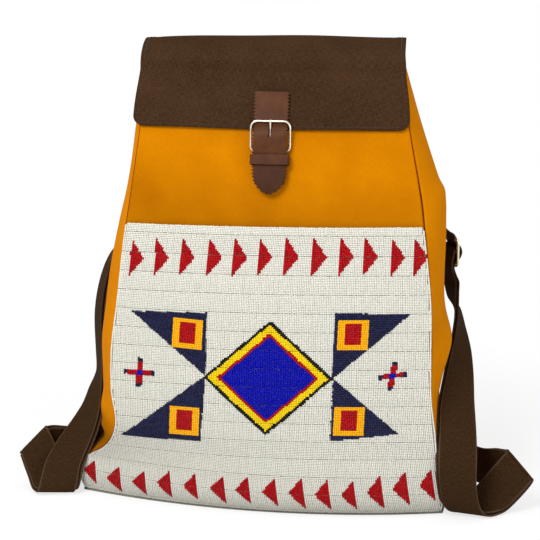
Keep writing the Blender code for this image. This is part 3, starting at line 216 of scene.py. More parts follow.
class Nodes:
    """Adds nodes to one tree."""

    def __init__(self, tree):
        self.tree = tree

    def node(self, kind, inputs=None, **settings):
        """A new node; inputs gives some of its sockets a number, a color or another's output."""
        made = self.tree.nodes.new("ShaderNode" + kind)
        for key, value in settings.items():
            setattr(made, key, value)
        for label, value in (inputs or {}).items():
            socket = made.inputs[label]
            if isinstance(value, bpy.types.NodeSocket):
                self.tree.links.new(value, socket)
            else:
                socket.default_value = (*value, 1.0) if socket.type == "RGBA" else value
        return made

    def math(self, operation, *values):
        return self.node("Math", dict(enumerate(values)), operation=operation).outputs[0]

    def seen(self):
        """1 for what the camera sees, straight or in metal and glass, else 0."""
        rays = self.node("LightPath").outputs
        bent = self.math("MAXIMUM", rays["Is Glossy Ray"], rays["Is Transmission Ray"])
        return self.math("MAXIMUM", rays["Is Camera Ray"], bent)


class Look(Nodes):
    """A procedural material in the making, around one Principled shader."""

    def __init__(self, name, roughness, specular=0.5, metallic=0.0):
        self.made = bpy.data.materials.new(name)
        self.made.use_nodes = True
        super().__init__(self.made.node_tree)
        self.shader = self.tree.nodes["Principled BSDF"].inputs
        for label, value in (("Roughness", roughness), ("Specular IOR Level", specular),
                             ("Metallic", metallic)):
            self.shader[label].default_value = value

    def place(self, kind="Object"):
        return self.node("TexCoord").outputs[kind]

    def noise(self, size, where, detail=3.0, stretch=None):
        """Noise with features of about size metres."""
        if stretch is not None:
            where = self.node("Mapping", {"Scale": stretch, "Vector": where}).outputs[0]
        inputs = {"Scale": 1.0 / size, "Detail": detail, "Vector": where}
        return self.node("TexNoise", inputs).outputs["Fac"]

    def ramp(self, value, low, dark, high, light):
        """The dark color where value is low, blending to the light one where it is high."""
        made = self.node("ValToRGB", {0: value})
        for stop, at, color in zip(made.color_ramp.elements, (low, high), (dark, light)):
            stop.position = at
            stop.color = (*color, 1.0)
        return made.outputs[0]

    def mix(self, share, a, b, kind="MIX"):
        inputs = {0: share, 6: a, 7: b}
        return self.node("Mix", inputs, data_type="RGBA", blend_type=kind).outputs[2]

    def color(self, value):
        self.tree.links.new(value, self.shader["Base Color"])

    def rough(self, value, share, least):
        rough = self.math("MULTIPLY_ADD", value, share, least)
        self.tree.links.new(rough, self.shader["Roughness"])

    def bump(self, height, distance, strength):
        """A bump on top of those that the shader already has."""
        inputs = {"Strength": strength, "Distance": distance, "Height": height}
        normal = self.shader["Normal"]
        if normal.is_linked:
            inputs["Normal"] = normal.links[0].from_socket
        self.tree.links.new(self.node("Bump", inputs).outputs[0], normal)

    def fall(self, low, high, share, lean=0.0):
        """1 above the z high, falling to share at the z low, with soft clouds. lean lowers it
        for each x."""
        place = self.place()
        x, _, z = self.node("SeparateXYZ", {0: place}).outputs
        cloud = self.math("MULTIPLY_ADD", self.noise(60 * MM, place, 2.0), 40 * MM, -20 * MM)
        height = self.math("MULTIPLY_ADD", x, lean, self.math("ADD", z, cloud))
        inputs = {"Value": height, "From Min": low, "From Max": high, "To Min": share}
        return self.node("MapRange", inputs, interpolation_type="SMOOTHSTEP").outputs[0]

    def weave(self, pitch):
        """Height of a plain weave of that pitch, over the cloth's own flat measure."""
        flat = self.node("SeparateXYZ", {0: self.place("UV")}).outputs
        waves = [self.math("SINE", self.math("MULTIPLY", way, math.pi / pitch)) for way in flat[:2]]
        return self.math("MULTIPLY_ADD", self.math("MULTIPLY", *waves), 0.5, 0.5)


def cloth(name, light, dark, pitch, roughness=0.85, slub=0.5, painted_shade=None):
    """Woven cloth: a plain weave, uneven yarn in both directions and a faint cloudiness. The
    last argument is (low z, high z, share, lean) of a painted shade: a fall in its color."""
    look = Look(name, roughness, 0.015)
    flat = look.place("UV")
    warp = look.noise(pitch, flat, 2.0, (1.0, 0.18, 1.0))
    weft = look.noise(pitch, flat, 2.0, (0.18, 1.0, 1.0))
    yarn = look.math("MULTIPLY", look.math("ADD", warp, weft), 0.5)
    cloud = look.math("MULTIPLY", look.noise(45 * MM, look.place()), 1.0 - slub)
    shade = look.ramp(look.math("MULTIPLY_ADD", yarn, slub, cloud), 0.36, dark, 0.64, light)
    # Painted shade: where asked for, the color falls darker towards low z
    if painted_shade is not None:
        shade = look.mix(1.0, shade, look.fall(*painted_shade), "MULTIPLY")
    look.color(shade)
    look.rough(yarn, 0.2, roughness - 0.1)
    look.bump(look.weave(pitch), 0.10 * MM, 0.7)
    look.bump(yarn, 0.18 * MM, 0.6)
    return look.made


def leather(name, light, dark):
    """Smooth leather: fine pores, soft creases, a little polish, darker towards the tip."""
    look = Look(name, 0.5, 0.1)
    where = look.place()
    inputs = {"Scale": 1.0 / (1.1 * MM), "Vector": where}
    pores = look.node("TexVoronoi", inputs, feature="DISTANCE_TO_EDGE").outputs["Distance"]
    cloud = look.noise(9 * MM, where, 4.0)
    shade = look.ramp(cloud, 0.32, dark, 0.68, light)
    look.color(look.mix(1.0, shade, look.fall(0.350, 0.386, 0.58), "MULTIPLY"))
    look.rough(cloud, 0.25, 0.36)
    look.bump(pores, 0.09 * MM, 0.5)
    look.bump(look.noise(2.5 * MM, where), 0.12 * MM, 0.4)
    return look.made


def metal(name, color):
    """Plated wire with fine rubbing marks and a slightly uneven polish."""
    look = Look(name, 0.25, metallic=1.0)
    where = look.place()
    marks = look.noise(0.5 * MM, where, 2.0, (1.0, 1.0, 0.12))
    look.color(look.ramp(look.noise(6 * MM, where), 0.35, scaled(color, 0.82), 0.62, color))
    look.rough(marks, 0.22, 0.16)
    look.bump(marks, 0.02 * MM, 0.5)
    return look.made


def beads(name, color, spread):
    """Glass seed beads: each a little lighter or darker, with painted shade where they meet."""
    look = Look(name, 0.22, 0.12)
    tint, end = (look.node("Attribute", attribute_name=label).outputs["Fac"]
                 for label in ("tint", "end"))
    cloud = look.noise(0.5 * MM, look.place(), 2.0)
    shade = look.ramp(tint, 0.0, scaled(color, 1.0 - spread), 1.0, color)
    # Painted shade where beads meet: the end attribute blends towards a darker copy of the color
    look.color(look.mix(look.math("MULTIPLY", end, 0.58), shade, scaled(color, 0.35)))
    look.rough(cloud, 0.2, 0.14)
    look.bump(cloud, 0.03 * MM, 0.4)
    return look.made


def webbing(name, light, dark):
    """Woven webbing: herringbone ribs along it, plain bound edges and uneven yarn."""
    look = Look(name, 0.88, 0.04)
    across, down, _ = look.node("SeparateXYZ", {0: look.place("UV")}).outputs
    fold = look.math("ADD", look.math("PINGPONG", across, 4.75 * MM), down)
    ribs = look.math("SINE", look.math("MULTIPLY", fold, 2 * math.pi / (2.1 * MM)))
    yarn = look.noise(0.7 * MM, look.place("UV"), 2.0, (1.0, 0.25, 1.0))
    shade = look.ramp(look.math("MULTIPLY_ADD", ribs, 0.16, yarn), 0.34, dark, 0.68, light)
    bound = look.math("GREATER_THAN", look.math("ABSOLUTE", across), WEB_W / 2 - 0.8 * MM)
    paler = tuple(v * 1.3 + 0.02 for v in light)
    look.color(look.mix(look.math("MULTIPLY", bound, 0.6), shade, paler))
    look.bump(ribs, 0.16 * MM, 0.7)
    look.bump(yarn, 0.25 * MM, 0.6)
    return look.made


def fibres(name, light, dark, size, detail, roughness, relief, stretch=None, specular=0.5):
    """Plain fibres, as of a board or a thread. relief is the bump's (distance, strength)."""
    look = Look(name, roughness, specular)
    grain = look.noise(size, look.place(), detail, stretch)
    look.color(look.ramp(grain, 0.35, dark, 0.65, light))
    look.bump(grain, *relief)
    return look.made


def thread(name, light, dark, specular=0.5):
    return fibres(name, light, dark, 0.35 * MM, 2.0, 0.6, (0.05 * MM, 0.6), specular=specular)


MUSTARD = cloth("mustard_canvas", (0.60, 0.203, 0.0003), (0.51, 0.161, 0.0002), 0.75 * MM)
# Front canvas: the same mustard a little darker, as painted shade, and painted shade that darkens
# it further from z 0.375 down towards the bead panel, most on the left
MUSTARD_FRONT_SHADED = cloth("mustard_front_shaded", (0.54, 0.183, 0.0003), (0.43, 0.134, 0.0002), 0.75 * MM,
                      painted_shade=(0.300, 0.375, 0.76, 0.14))
# Left gusset canvas: the same mustard a little lighter, as painted light, with painted shade in its
# low fold, from z 0.105 down to 0.066
MUSTARD_LEFT_LIT_SHADED = cloth("mustard_left_lit_shaded", (0.62, 0.210, 0.0003), (0.53, 0.167, 0.0002), 0.75 * MM,
                     painted_shade=(0.066, 0.105, 0.45))
BROWN = cloth("brown_canvas", (0.062, 0.031, 0.0142), (0.0215, 0.0098, 0.0045), 0.8 * MM,
              0.9, 0.8)
GREY = cloth("grey_canvas", (0.26, 0.25, 0.21), (0.17, 0.16, 0.13), 0.7 * MM)
COTTON = cloth("lining_cotton", (0.50, 0.41, 0.28), (0.40, 0.31, 0.20), 0.5 * MM)
# Backing under the beads: its dark grey-brown is partly the cloth's own color and partly painted
# shade for the gaps between beads
BACKING = cloth("bead_backing", (0.30, 0.29, 0.25), (0.22, 0.21, 0.18), 0.6 * MM)
BOARD = fibres("fibre_board", (0.34, 0.25, 0.15), (0.22, 0.16, 0.09), 1.2 * MM, 5.0, 0.8,
               (0.1 * MM, 0.4), (1.0, 0.2, 1.0))
LEATHER = leather("brown_leather", (0.087, 0.030, 0.0115), (0.062, 0.020, 0.0077))
LEATHER_EDGE = leather("cut_leather", (0.020, 0.008, 0.004), (0.010, 0.004, 0.002))
METAL = metal("pale_gold_metal", (0.86, 0.80, 0.66))
WEBBING = webbing("brown_webbing", (0.050, 0.025, 0.010), (0.018, 0.008, 0.003))
MUSTARD_THREAD = thread("mustard_thread", (0.70, 0.26, 0.01), (0.50, 0.17, 0.01))
# Thread in the front seams, its dark mustard color painted shade for the seams' grooves
SEAM_SHADE_THREAD = thread("seam_shade_thread", (0.26, 0.034, 0.001), (0.17, 0.022, 0.001), 0.01)
DARK_THREAD = thread("dark_thread", (0.036, 0.018, 0.009), (0.018, 0.009, 0.005))
IVORY, NAVY, YELLOW, ORANGE, RED, BLUE, BLACK = range(7)
BEAD_LOOKS = (
    beads("ivory_beads", (0.81, 0.797, 0.708), 0.11),
    beads("navy_beads", (0.0145, 0.0160, 0.067), 0.65),
    beads("yellow_beads", (0.93, 0.67, 0.003), 0.14),
    beads("orange_beads", (1.0, 0.47, 0.001), 0.14),
    beads("red_beads", (0.48, 0.001, 0.0045), 0.40),
    beads("blue_beads", (0.0003, 0.0024, 0.42), 0.35),
    beads("black_beads", (0.0085, 0.0080, 0.0060), 0.5),
)


# Form

def slopes(values):
    """Slope at each height, for a smooth run through the values."""
    step = np.diff(HEIGHTS)
    rise = np.diff(values) / step
    inner = (rise[:-1] * step[1:] + rise[1:] * step[:-1]) / (step[:-1] + step[1:])
    return np.concatenate(([rise[0]], inner, [rise[-1]]))


SLOPES = np.stack([slopes(column) for column in SECTIONS.T[1:]], axis=1)


def section(z):
    """The bag's section at heights z: a dict of values in metres."""
    height = np.asarray(z, float) / MM
    index = np.clip(np.searchsorted(HEIGHTS, height) - 1, 0, len(HEIGHTS) - 2)
    step = HEIGHTS[index + 1] - HEIGHTS[index]
    share = (height - HEIGHTS[index]) / step
    made = {}
    for k, name in enumerate(NAMES):
        start, end = SECTIONS[index, k + 1], SECTIONS[index + 1, k + 1]
        a, b = SLOPES[index, k] * step, SLOPES[index + 1, k] * step
        cubic = 2 * start - 2 * end + a + b
        square = 3 * end - 3 * start - 2 * a - b
        made[name] = (cubic * share ** 3 + square * share ** 2 + a * share + start) * MM
    return made


def arch(share):
    """0 at both ends and 1 in the middle."""
    return 4.0 * share * (1.0 - share)


def hump(value, middle, width):
    return np.exp(-((value - middle) / width) ** 2)


def points(x, y, z):
    return np.stack(np.broadcast_arrays(x, y, z), axis=-1)


def front(u, z):
    s = section(z)
    y = s["yl"] + (s["yr"] - s["yl"]) * u - ((s["yl"] + s["yr"]) / 2 - s["ym"]) * arch(u)
    return points(s["xl"] + (s["xr"] - s["xl"]) * u, y, z)


def back(u, z):
    s = section(z)
    return points(s["bl"] + (s["br"] - s["bl"]) * u, s["yb"] + BACK_BULGE * arch(u), z)


def side(t, z, names):
    """A gusset from front to back; names are its front corner, widest x and back corner."""
    s = section(z)
    x, y, wide, rear = (s[name] for name in names)
    bulge = wide - (x + (rear - x) * 0.45)
    return points(x + (rear - x) * t + bulge * arch(t), y + (s["yb"] - y) * t, z)


def left(t, z):
    return side(t, z, ("xl", "yl", "gl", "bl"))


def right(t, z):
    return side(t, z, ("xr", "yr", "gr", "br"))


def front_share(x, z):
    s = section(z)
    return (x - s["xl"]) / (s["xr"] - s["xl"])


def back_share(x, z):
    s = section(z)
    return (x - s["bl"]) / (s["br"] - s["bl"])


def unit(v):
    return v / np.maximum(np.linalg.norm(v, axis=-1, keepdims=True), 1e-12)


def square_to(v, axis):
    """Unit vectors of v, turned square to the axis."""
    return unit(v - axis * np.sum(v * axis, axis=-1, keepdims=True))


def tangents(surface, u, z):
    du, dz = 0.004, 0.5 * MM
    high = np.minimum(np.asarray(z) + dz, RIM_Z)
    low = np.maximum(np.asarray(z) - dz, 0.0)
    across = unit(surface(u + du, z) - surface(u - du, z))
    return across, unit(surface(u, high) - surface(u, low))


def outward(surface, u, z, way):
    normal = unit(np.cross(*tangents(surface, u, z)))
    return np.where((normal @ way)[..., None] > 0, normal, -normal)


def raised(surface, u, z, way, height):
    """Points at a height above one of the bag's surfaces, on the side of way."""
    return surface(u, z) + outward(surface, u, z, way) * np.asarray(height)[..., None]


def grid_normals(grid):
    return unit(np.cross(np.gradient(grid, axis=1), np.gradient(grid, axis=0)))


def lengths(path):
    """How far along the path each of its points lies."""
    steps = np.linalg.norm(np.diff(path, axis=0), axis=1)
    return np.concatenate(([0.0], np.cumsum(steps)))


def along(path, run, spots):
    """The path at those lengths; run holds the length at each of its points."""
    return np.stack([np.interp(spots, run, column) for column in path.T], axis=1)


def smooth(spots, steps):
    """Points on a Catmull-Rom curve through the given spots, ends included."""
    spots = np.asarray(spots, float)
    ends = np.concatenate((spots[:1], spots, spots[-1:]))
    t = (np.arange(steps) / steps).reshape((-1,) + (1,) * (spots.ndim - 1))
    parts = [0.5 * (2 * p1 + (p2 - p0) * t + (2 * p0 - 5 * p1 + 4 * p2 - p3) * t ** 2
                    + (3 * p1 - p0 - 3 * p2 + p3) * t ** 3)
             for p0, p1, p2, p3 in zip(ends, ends[1:], ends[2:], ends[3:])]
    return np.concatenate(parts + [spots[-1:]])


def rounded(width, height, radii, steps):
    """A rectangle about the origin, anticlockwise from its upper right corner, with a radius
    for each corner."""
    made = []
    for k, ((cx, cy), radius) in enumerate(zip(((1, 1), (-1, 1), (-1, -1), (1, -1)), radii)):
        angles = np.radians(90.0 * k + 90.0 * np.arange(steps + 1) / steps)
        made.append(np.column_stack((cx * (width / 2 - radius) + radius * np.cos(angles),
                                     cy * (height / 2 - radius) + radius * np.sin(angles))))
    return np.concatenate(made)


def densely(spots):
    """The closed outline with extra points, so that no run is longer than WIRE_STEP."""
    made = []
    for spot, after in zip(spots, np.roll(spots, -1, axis=0)):
        count = max(1, math.ceil(math.dist(spot, after) / WIRE_STEP))
        made.append(spot + (after - spot) * (np.arange(count) / count)[:, None])
    return np.concatenate(made)


def in_plane(origin, first, second, spots):
    """Flat spots laid on the plane through origin along two axes."""
    return origin + spots[:, :1] * first + spots[:, 1:] * second


# Builders

def add_mesh(name, mesh, looks, body="bag", smooth_faces=True):
    made = bpy.data.objects.new(name, mesh)
    bpy.context.scene.collection.objects.link(made)
    for look in looks:
        mesh.materials.append(look)
    mesh.polygons.foreach_set("use_smooth", [smooth_faces] * len(mesh.polygons))
    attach(made, body)
    return made


def stand_in(made, node):
    """Hides the model's part for the node that a piece stands for."""
    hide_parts(node)
    return made


def set_flat(mesh, flat):
    """Keeps each vertex's place on the flat cloth, in metres, as the mesh's UV map."""
    corners = np.empty(len(mesh.loops), np.int32)
    mesh.loops.foreach_get("vertex_index", corners)
    layer = mesh.uv_layers.new(name="flat")
    layer.data.foreach_set("uv", np.ascontiguousarray(flat[corners], np.float32).ravel())


def quad_mesh(name, verts, quads, flat=None):
    """A mesh of quads only."""
    mesh = bpy.data.meshes.new(name)
    mesh.vertices.add(len(verts))
    mesh.vertices.foreach_set("co", np.ascontiguousarray(verts, np.float32).ravel())
    corners = np.ascontiguousarray(quads, np.int32).ravel()
    mesh.loops.add(len(corners))
    mesh.loops.foreach_set("vertex_index", corners)
    mesh.polygons.add(len(quads))
    mesh.polygons.foreach_set("loop_start", np.arange(0, len(corners), 4, dtype=np.int32))
    mesh.update(calc_edges=True)
    if flat is not None:
        set_flat(mesh, flat)
    mesh.validate()
    return mesh


def face_mesh(name, verts, faces):
    mesh = bpy.data.meshes.new(name)
    mesh.from_pydata(verts.tolist(), [], faces)
    mesh.validate()
    return mesh


def grid_quads(index):
    """The quads between neighbouring rows and columns of a grid of vertex numbers."""
    corners = (index[:-1, :-1], index[:-1, 1:], index[1:, 1:], index[1:, :-1])
    return np.stack(corners, axis=-1).reshape(-1, 4)


def rim_quads(one, two, flip):
    quads = np.stack((one, two, np.roll(two, -1), np.roll(one, -1)), axis=-1)
    return quads[:, ::-1] if flip else quads


def flat_measure(grid):
    """Lengths along a grid's rows and columns, as (across, along) for each point."""
    across, down = np.zeros(grid.shape[:2]), np.zeros(grid.shape[:2])
    across[:, 1:] = np.cumsum(np.linalg.norm(np.diff(grid, axis=1), axis=2), axis=1)
    down[1:] = np.cumsum(np.linalg.norm(np.diff(grid, axis=0), axis=2), axis=0)
    across -= across[:, [across.shape[1] // 2]]
    return np.stack((across, down), axis=-1)


def shell(name, grid, thickness, look, way=None, closed=False, rim=3):
    """Cloth of a thickness inside a grid of outer points, with rounded cut edges. closed joins
    the last column to the first."""
    rows, cols = grid.shape[:2]
    dv = np.gradient(grid, axis=0)
    if closed:
        wide = np.concatenate((grid[:, -1:], grid, grid[:, :1]), axis=1)
        du = np.gradient(wide, axis=1)[:, 1:-1]
    else:
        du = np.gradient(grid, axis=1)
    normal = unit(np.cross(du, dv))
    turned = way is not None and float(np.sum(normal @ np.asarray(way))) < 0
    if turned:
        normal = -normal
    du, dv = unit(du), unit(dv)
    index = np.arange(rows * cols).reshape(rows, cols)
    if closed:
        rims = [(index[0], -dv[0], False), (index[-1], dv[-1], True)]
        index = np.concatenate((index, index[:, :1]), axis=1)
    else:
        edge = (index[0, :-1], index[:-1, -1], index[-1, :0:-1], index[:0:-1, 0])
        edge = np.concatenate(edge)
        out = np.zeros_like(grid)
        out[0] -= dv[0]
        out[-1] += dv[-1]
        out[:, 0] -= du[:, 0]
        out[:, -1] += du[:, -1]
        rims = [(edge, unit(out).reshape(-1, 3)[edge], False)]
    outer, inner = grid.reshape(-1, 3), (grid - normal * thickness).reshape(-1, 3)
    flat = flat_measure(grid).reshape(-1, 2)
    verts, flats = [outer, inner], [flat, flat]
    faces = grid_quads(index)
    quads = [faces, faces[:, ::-1] + rows * cols]
    total = 2 * rows * cols
    for edge, out, flip in rims:
        previous = edge
        for angle in np.pi * np.arange(1, rim + 1) / (rim + 1):
            share, bulge = (1.0 - math.cos(angle)) / 2, thickness * math.sin(angle)
            verts.append(outer[edge] * (1 - share) + inner[edge] * share + out * bulge * 0.42)
            flats.append(flat[edge] + bulge * 0.5)
            current = np.arange(total, total + len(edge))
            total += len(edge)
            quads.append(rim_quads(previous, current, flip))
            previous = current
        quads.append(rim_quads(previous, edge + rows * cols, flip))
    quads = np.concatenate(quads)
    if turned:
        quads = quads[:, ::-1]
    mesh = quad_mesh(name, np.concatenate(verts), quads, np.concatenate(flats))
    return add_mesh(name, mesh, (look,))


def tube(name, path, radius, closed=False, sides=14, body="bag"):
    """A bent round wire through the points; open ends are domed."""
    if closed:
        ahead = unit(np.roll(path, -1, axis=0) - np.roll(path, 1, axis=0))
    else:
        ahead = unit(np.gradient(path, axis=0))
    normal = UPWARD if abs(ahead[0][2]) < 0.8 else RIGHT_WAY
    normals = []
    for direction in ahead:
        normal = square_to(normal, direction)
        normals.append(normal)
    normals = np.array(normals)[:, None]
    angles = np.linspace(0.0, 2 * math.pi, sides, endpoint=False)[None, :, None]
    ring = radius * (np.cos(angles) * normals
                     + np.sin(angles) * np.cross(ahead[:, None], normals))
    rings = list(path[:, None] + ring)
    if not closed:
        for turn in np.radians((35, 65, 85)):
            reach, size = radius * math.sin(turn), math.cos(turn)
            rings.insert(0, path[0] - ahead[0] * reach + ring[0] * size)
            rings.append(path[-1] + ahead[-1] * reach + ring[-1] * size)
    index = np.arange(len(rings) * sides).reshape(-1, sides)
    faces = []
    for a, b in zip(index, np.roll(index, -1, axis=0) if closed else index[1:]):
        faces += np.stack((a, np.roll(a, -1), np.roll(b, -1), b), axis=-1).tolist()
    if not closed:
        faces += [index[0, ::-1].tolist(), index[-1].tolist()]
    return add_mesh(name, face_mesh(name, np.concatenate(rings), faces), (METAL,), body)


def barrels(centres, axes, normals, length, radius, pinch=0.84):
    """Small half-barrels that lie on a surface, as (verts, quads): 12 points and 8 quads each."""
    across = np.cross(axes, normals)
    rings = []
    for place, size in ((-0.5, pinch), (0.0, 1.0), (0.5, pinch)):
        for angle in BEAD_ANGLES:
            rings.append(centres + axes * (length * place)[:, None]
                         + across * (radius * size * math.sin(angle))[:, None]
                         + normals * (radius * size * math.cos(angle))[:, None])
    quads = [(k, k + 1, k + 5, k + 4) for k in (0, 1, 2, 4, 5, 6)] + [(3, 2, 1, 0), (8, 9, 10, 11)]
    faces = (np.arange(len(centres)) * 12)[:, None, None] + np.array(quads)
    return np.stack(rings, axis=1).reshape(-1, 3), faces.reshape(-1, 4)


def stitches(name, lines, look, length=2.4 * MM, gap=0.9 * MM, radius=0.3 * MM):
    """Rows of thread: lines are (points, normals) arrays along which the stitches lie."""
    parts = []
    for path, normals in lines:
        run = lengths(path)
        count = max(1, int(run[-1] / (length + gap)))
        spots = (np.arange(count) + 0.5) * run[-1] / count
        axis = unit(along(path, run, spots + 0.3 * MM) - along(path, run, spots - 0.3 * MM))
        up = square_to(along(normals, run, spots), axis)
        parts.append((along(path, run, spots), axis, up))
    centres, axes, ups = (np.concatenate(column) for column in zip(*parts))
    size = np.ones(len(centres))
    mesh = quad_mesh(name, *barrels(centres, axes, ups, size * length, size * radius, 0.5))
    return add_mesh(name, mesh, (look,))


# Canvas bag

def panel(name, surface, u, z, way, height, thickness, look, node):
    """Cloth at a height above one of the bag's surfaces; returns its outer points."""
    grid = raised(surface, u, z, way, height)
    stand_in(shell(name, grid, thickness, look, way), node)
    return grid


def canvas_front():
    u, z = np.meshgrid(np.linspace(0.0015, 0.9985, 80), np.linspace(BASE_T + GAP, RIM_Z, 140))
    x = front(u, z)[..., 0]
    above = np.clip((z - 0.305) / 0.03, 0.0, 1.0)
    free = (1.0 - hump(x, CLASP_X, 34 * MM)) * (1.0 - np.clip((z - 0.375) / 0.015, 0.0, 1.0))
    soft = 0.9 * np.sin(u * 10 + z * 21) * np.sin(z * 43 - u * 5 + 0.8) * arch(u) * above * free
    sag = 2.8 * hump(z, 0.298, 0.034) * arch(u) ** 0.4
    swell = 1.5 * hump(z, 0.358, 0.02) * arch(u) ** 0.6 * free
    panel("canvas_front", front, u, z, FRONT_WAY, (soft + swell - sag) * MM, WALL,
          MUSTARD_FRONT_SHADED, "front_panel")


def canvas_gusset(name, surface, way, look):
    t, z = np.meshgrid(np.linspace(0.0, 1.0, 44), np.linspace(BASE_T + GAP, RIM_Z, 150))
    length = np.linalg.norm(surface(1.0, z[:, :1]) - surface(0.0, z[:, :1]), axis=-1)
    ahead, behind = (WALL + 0.7 * MM) / length, (WALL + 2.0 * MM) / length
    t = ahead + (1 - ahead - behind) * t
    fold = sum(height * hump(t - (z - FOLD_LEAN_Z) * lean, at_t, wide_t) * hump(z, at_z, wide_z)
               for height, at_z, wide_z, at_t, wide_t, lean in GUSSET_FOLDS[name])
    panel("canvas_" + name, surface, t, z, way, fold * MM * arch(t), WALL, look,
          name)


def canvas_back():
    u, z = np.meshgrid(np.linspace(0.0, 1.0, 60), np.linspace(BASE_T + GAP, RIM_Z, 80))
    soft = 0.4 * MM * np.sin(u * 13 + z * 17) * np.sin(z * 25 - u * 7) * arch(u)
    panel("canvas_back", back, u, z, BACK_WAY, soft * (z > 0.06), WALL, MUSTARD,
          "back_panel")


def outline_at(z, inset, fine):
    """The bag's outline at height z, moved inward, anticlockwise from above."""
    u = np.linspace(0.0, 1.0, 10 * fine + 1)
    t = np.linspace(0.0, 1.0, 6 * fine + 1)[1:-1]
    w = np.linspace(1.0, 0.0, 5 * fine + 1)
    runs = ((front, u), (right, t), (back, w), (left, t[::-1]))
    path = np.concatenate([surface(share, np.full(len(share), z)) for surface, share in runs])
    before = unit(path - np.roll(path, 1, axis=0))
    after = unit(np.roll(path, -1, axis=0) - path)
    turn = unit(before + after)
    inward = np.stack((-turn[:, 1], turn[:, 0], np.zeros(len(path))), axis=1)
    reach = inset / np.maximum(0.6, np.sum(turn * after, axis=1))
    return path + inward * reach[:, None]


def disc(name, outline, low, high, look, soften):
    """A flat piece on an outline, with its rim rounded: a floor or a board."""
    middle = outline.mean(axis=0)
    way = unit(outline - middle)
    rings = [(middle + (outline - middle) * share, high) for share in np.linspace(0.02, 1.0, 10)]
    rings += [(outline + way * soften * math.sin(turn), high - soften * (1 - math.cos(turn)))
              for turn in np.radians((45, 90))]
    top = np.array([points(spots[:, 0], spots[:, 1], z) for spots, z in rings])
    under = top[::-1] * (1, 1, -1) + (0, 0, high + low)
    grid = np.concatenate((top, under))
    index = np.arange(grid.shape[0] * grid.shape[1]).reshape(grid.shape[:2])
    wide = np.concatenate((index, index[:, :1]), axis=1)
    faces = grid_quads(wide)[:, (0, 3, 2, 1)].tolist()
    faces += [index[0].tolist(), index[-1, ::-1].tolist()]
    mesh = face_mesh(name, grid.reshape(-1, 3), faces)
    set_flat(mesh, grid.reshape(-1, 3)[:, :2])
    return add_mesh(name, mesh, (look,))


def base():
    cloth_rim = outline_at(BASE_T, -1.6 * MM, 6)
    stand_in(disc("base_cloth", cloth_rim, 0.0, BASE_T, GREY, 0.5 * MM),
             "base_panel")
    low = BASE_T + GAP
    board_rim = outline_at(low, WALL + 2.5 * MM, 4)
    stand_in(disc("base_stiffener", board_rim, low, low + BOARD_T, BOARD, 0.3 * MM),
             "base_board")


def inner_bag():
    """Cotton lining: a floor on the board and walls up to the rim, a little slack."""
    low = BASE_T + BOARD_T + 2 * GAP
    inset = WALL + 3.0 * MM
    floor = outline_at(low, inset + 2.0 * MM, 4)
    middle = UPWARD * low
    rows = [middle + (floor - middle) * share for share in (0.02, 0.25, 0.5, 0.75, 1.0)]
    for share in (np.arange(1, 60) / 59) ** 1.2:
        z = low + (RIM_Z - 4.0 * MM - low) * share
        ring = outline_at(z, inset, 4)
        slack = 0.6 * MM * np.sin(np.arange(len(ring)) * 0.55 + z * 40) * min(1.0, share * 8)
        rows.append(ring - unit(ring - ring.mean(axis=0)) * (0.6 * MM + slack)[:, None])
    stand_in(shell("cotton_lining", np.array(rows)[:, ::-1], LINING_T, COTTON, closed=True),
             "lining")


def seam_stitches():
    """Top stitching beside both seams of the back, and a dark thread in both front seams whose
    dark mustard is painted shade for the seams' grooves.
    """
    z = np.linspace(0.012, 0.43, 200)
    s = section(z)
    from_seam = 5.0 * MM / (s["br"] - s["bl"])
    lines = [(raised(back, u, z, BACK_WAY, np.full(len(z), 0.1 * MM)),
              outward(back, u, z, BACK_WAY)) for u in (from_seam, 1 - from_seam)]
    stitches("seam_stitches", lines, MUSTARD_THREAD, gap=1.2 * MM, radius=0.32 * MM)
    z = np.linspace(0.012, 0.45, 200)
    lines = [(front(u, z), outward(front, u, z, FRONT_WAY)) for u in (0.0, 1.0)]
    stitches("seam_shade_thread", lines, SEAM_SHADE_THREAD, 2.7 * MM, 0.1 * MM, 0.5 * MM)


# Flap

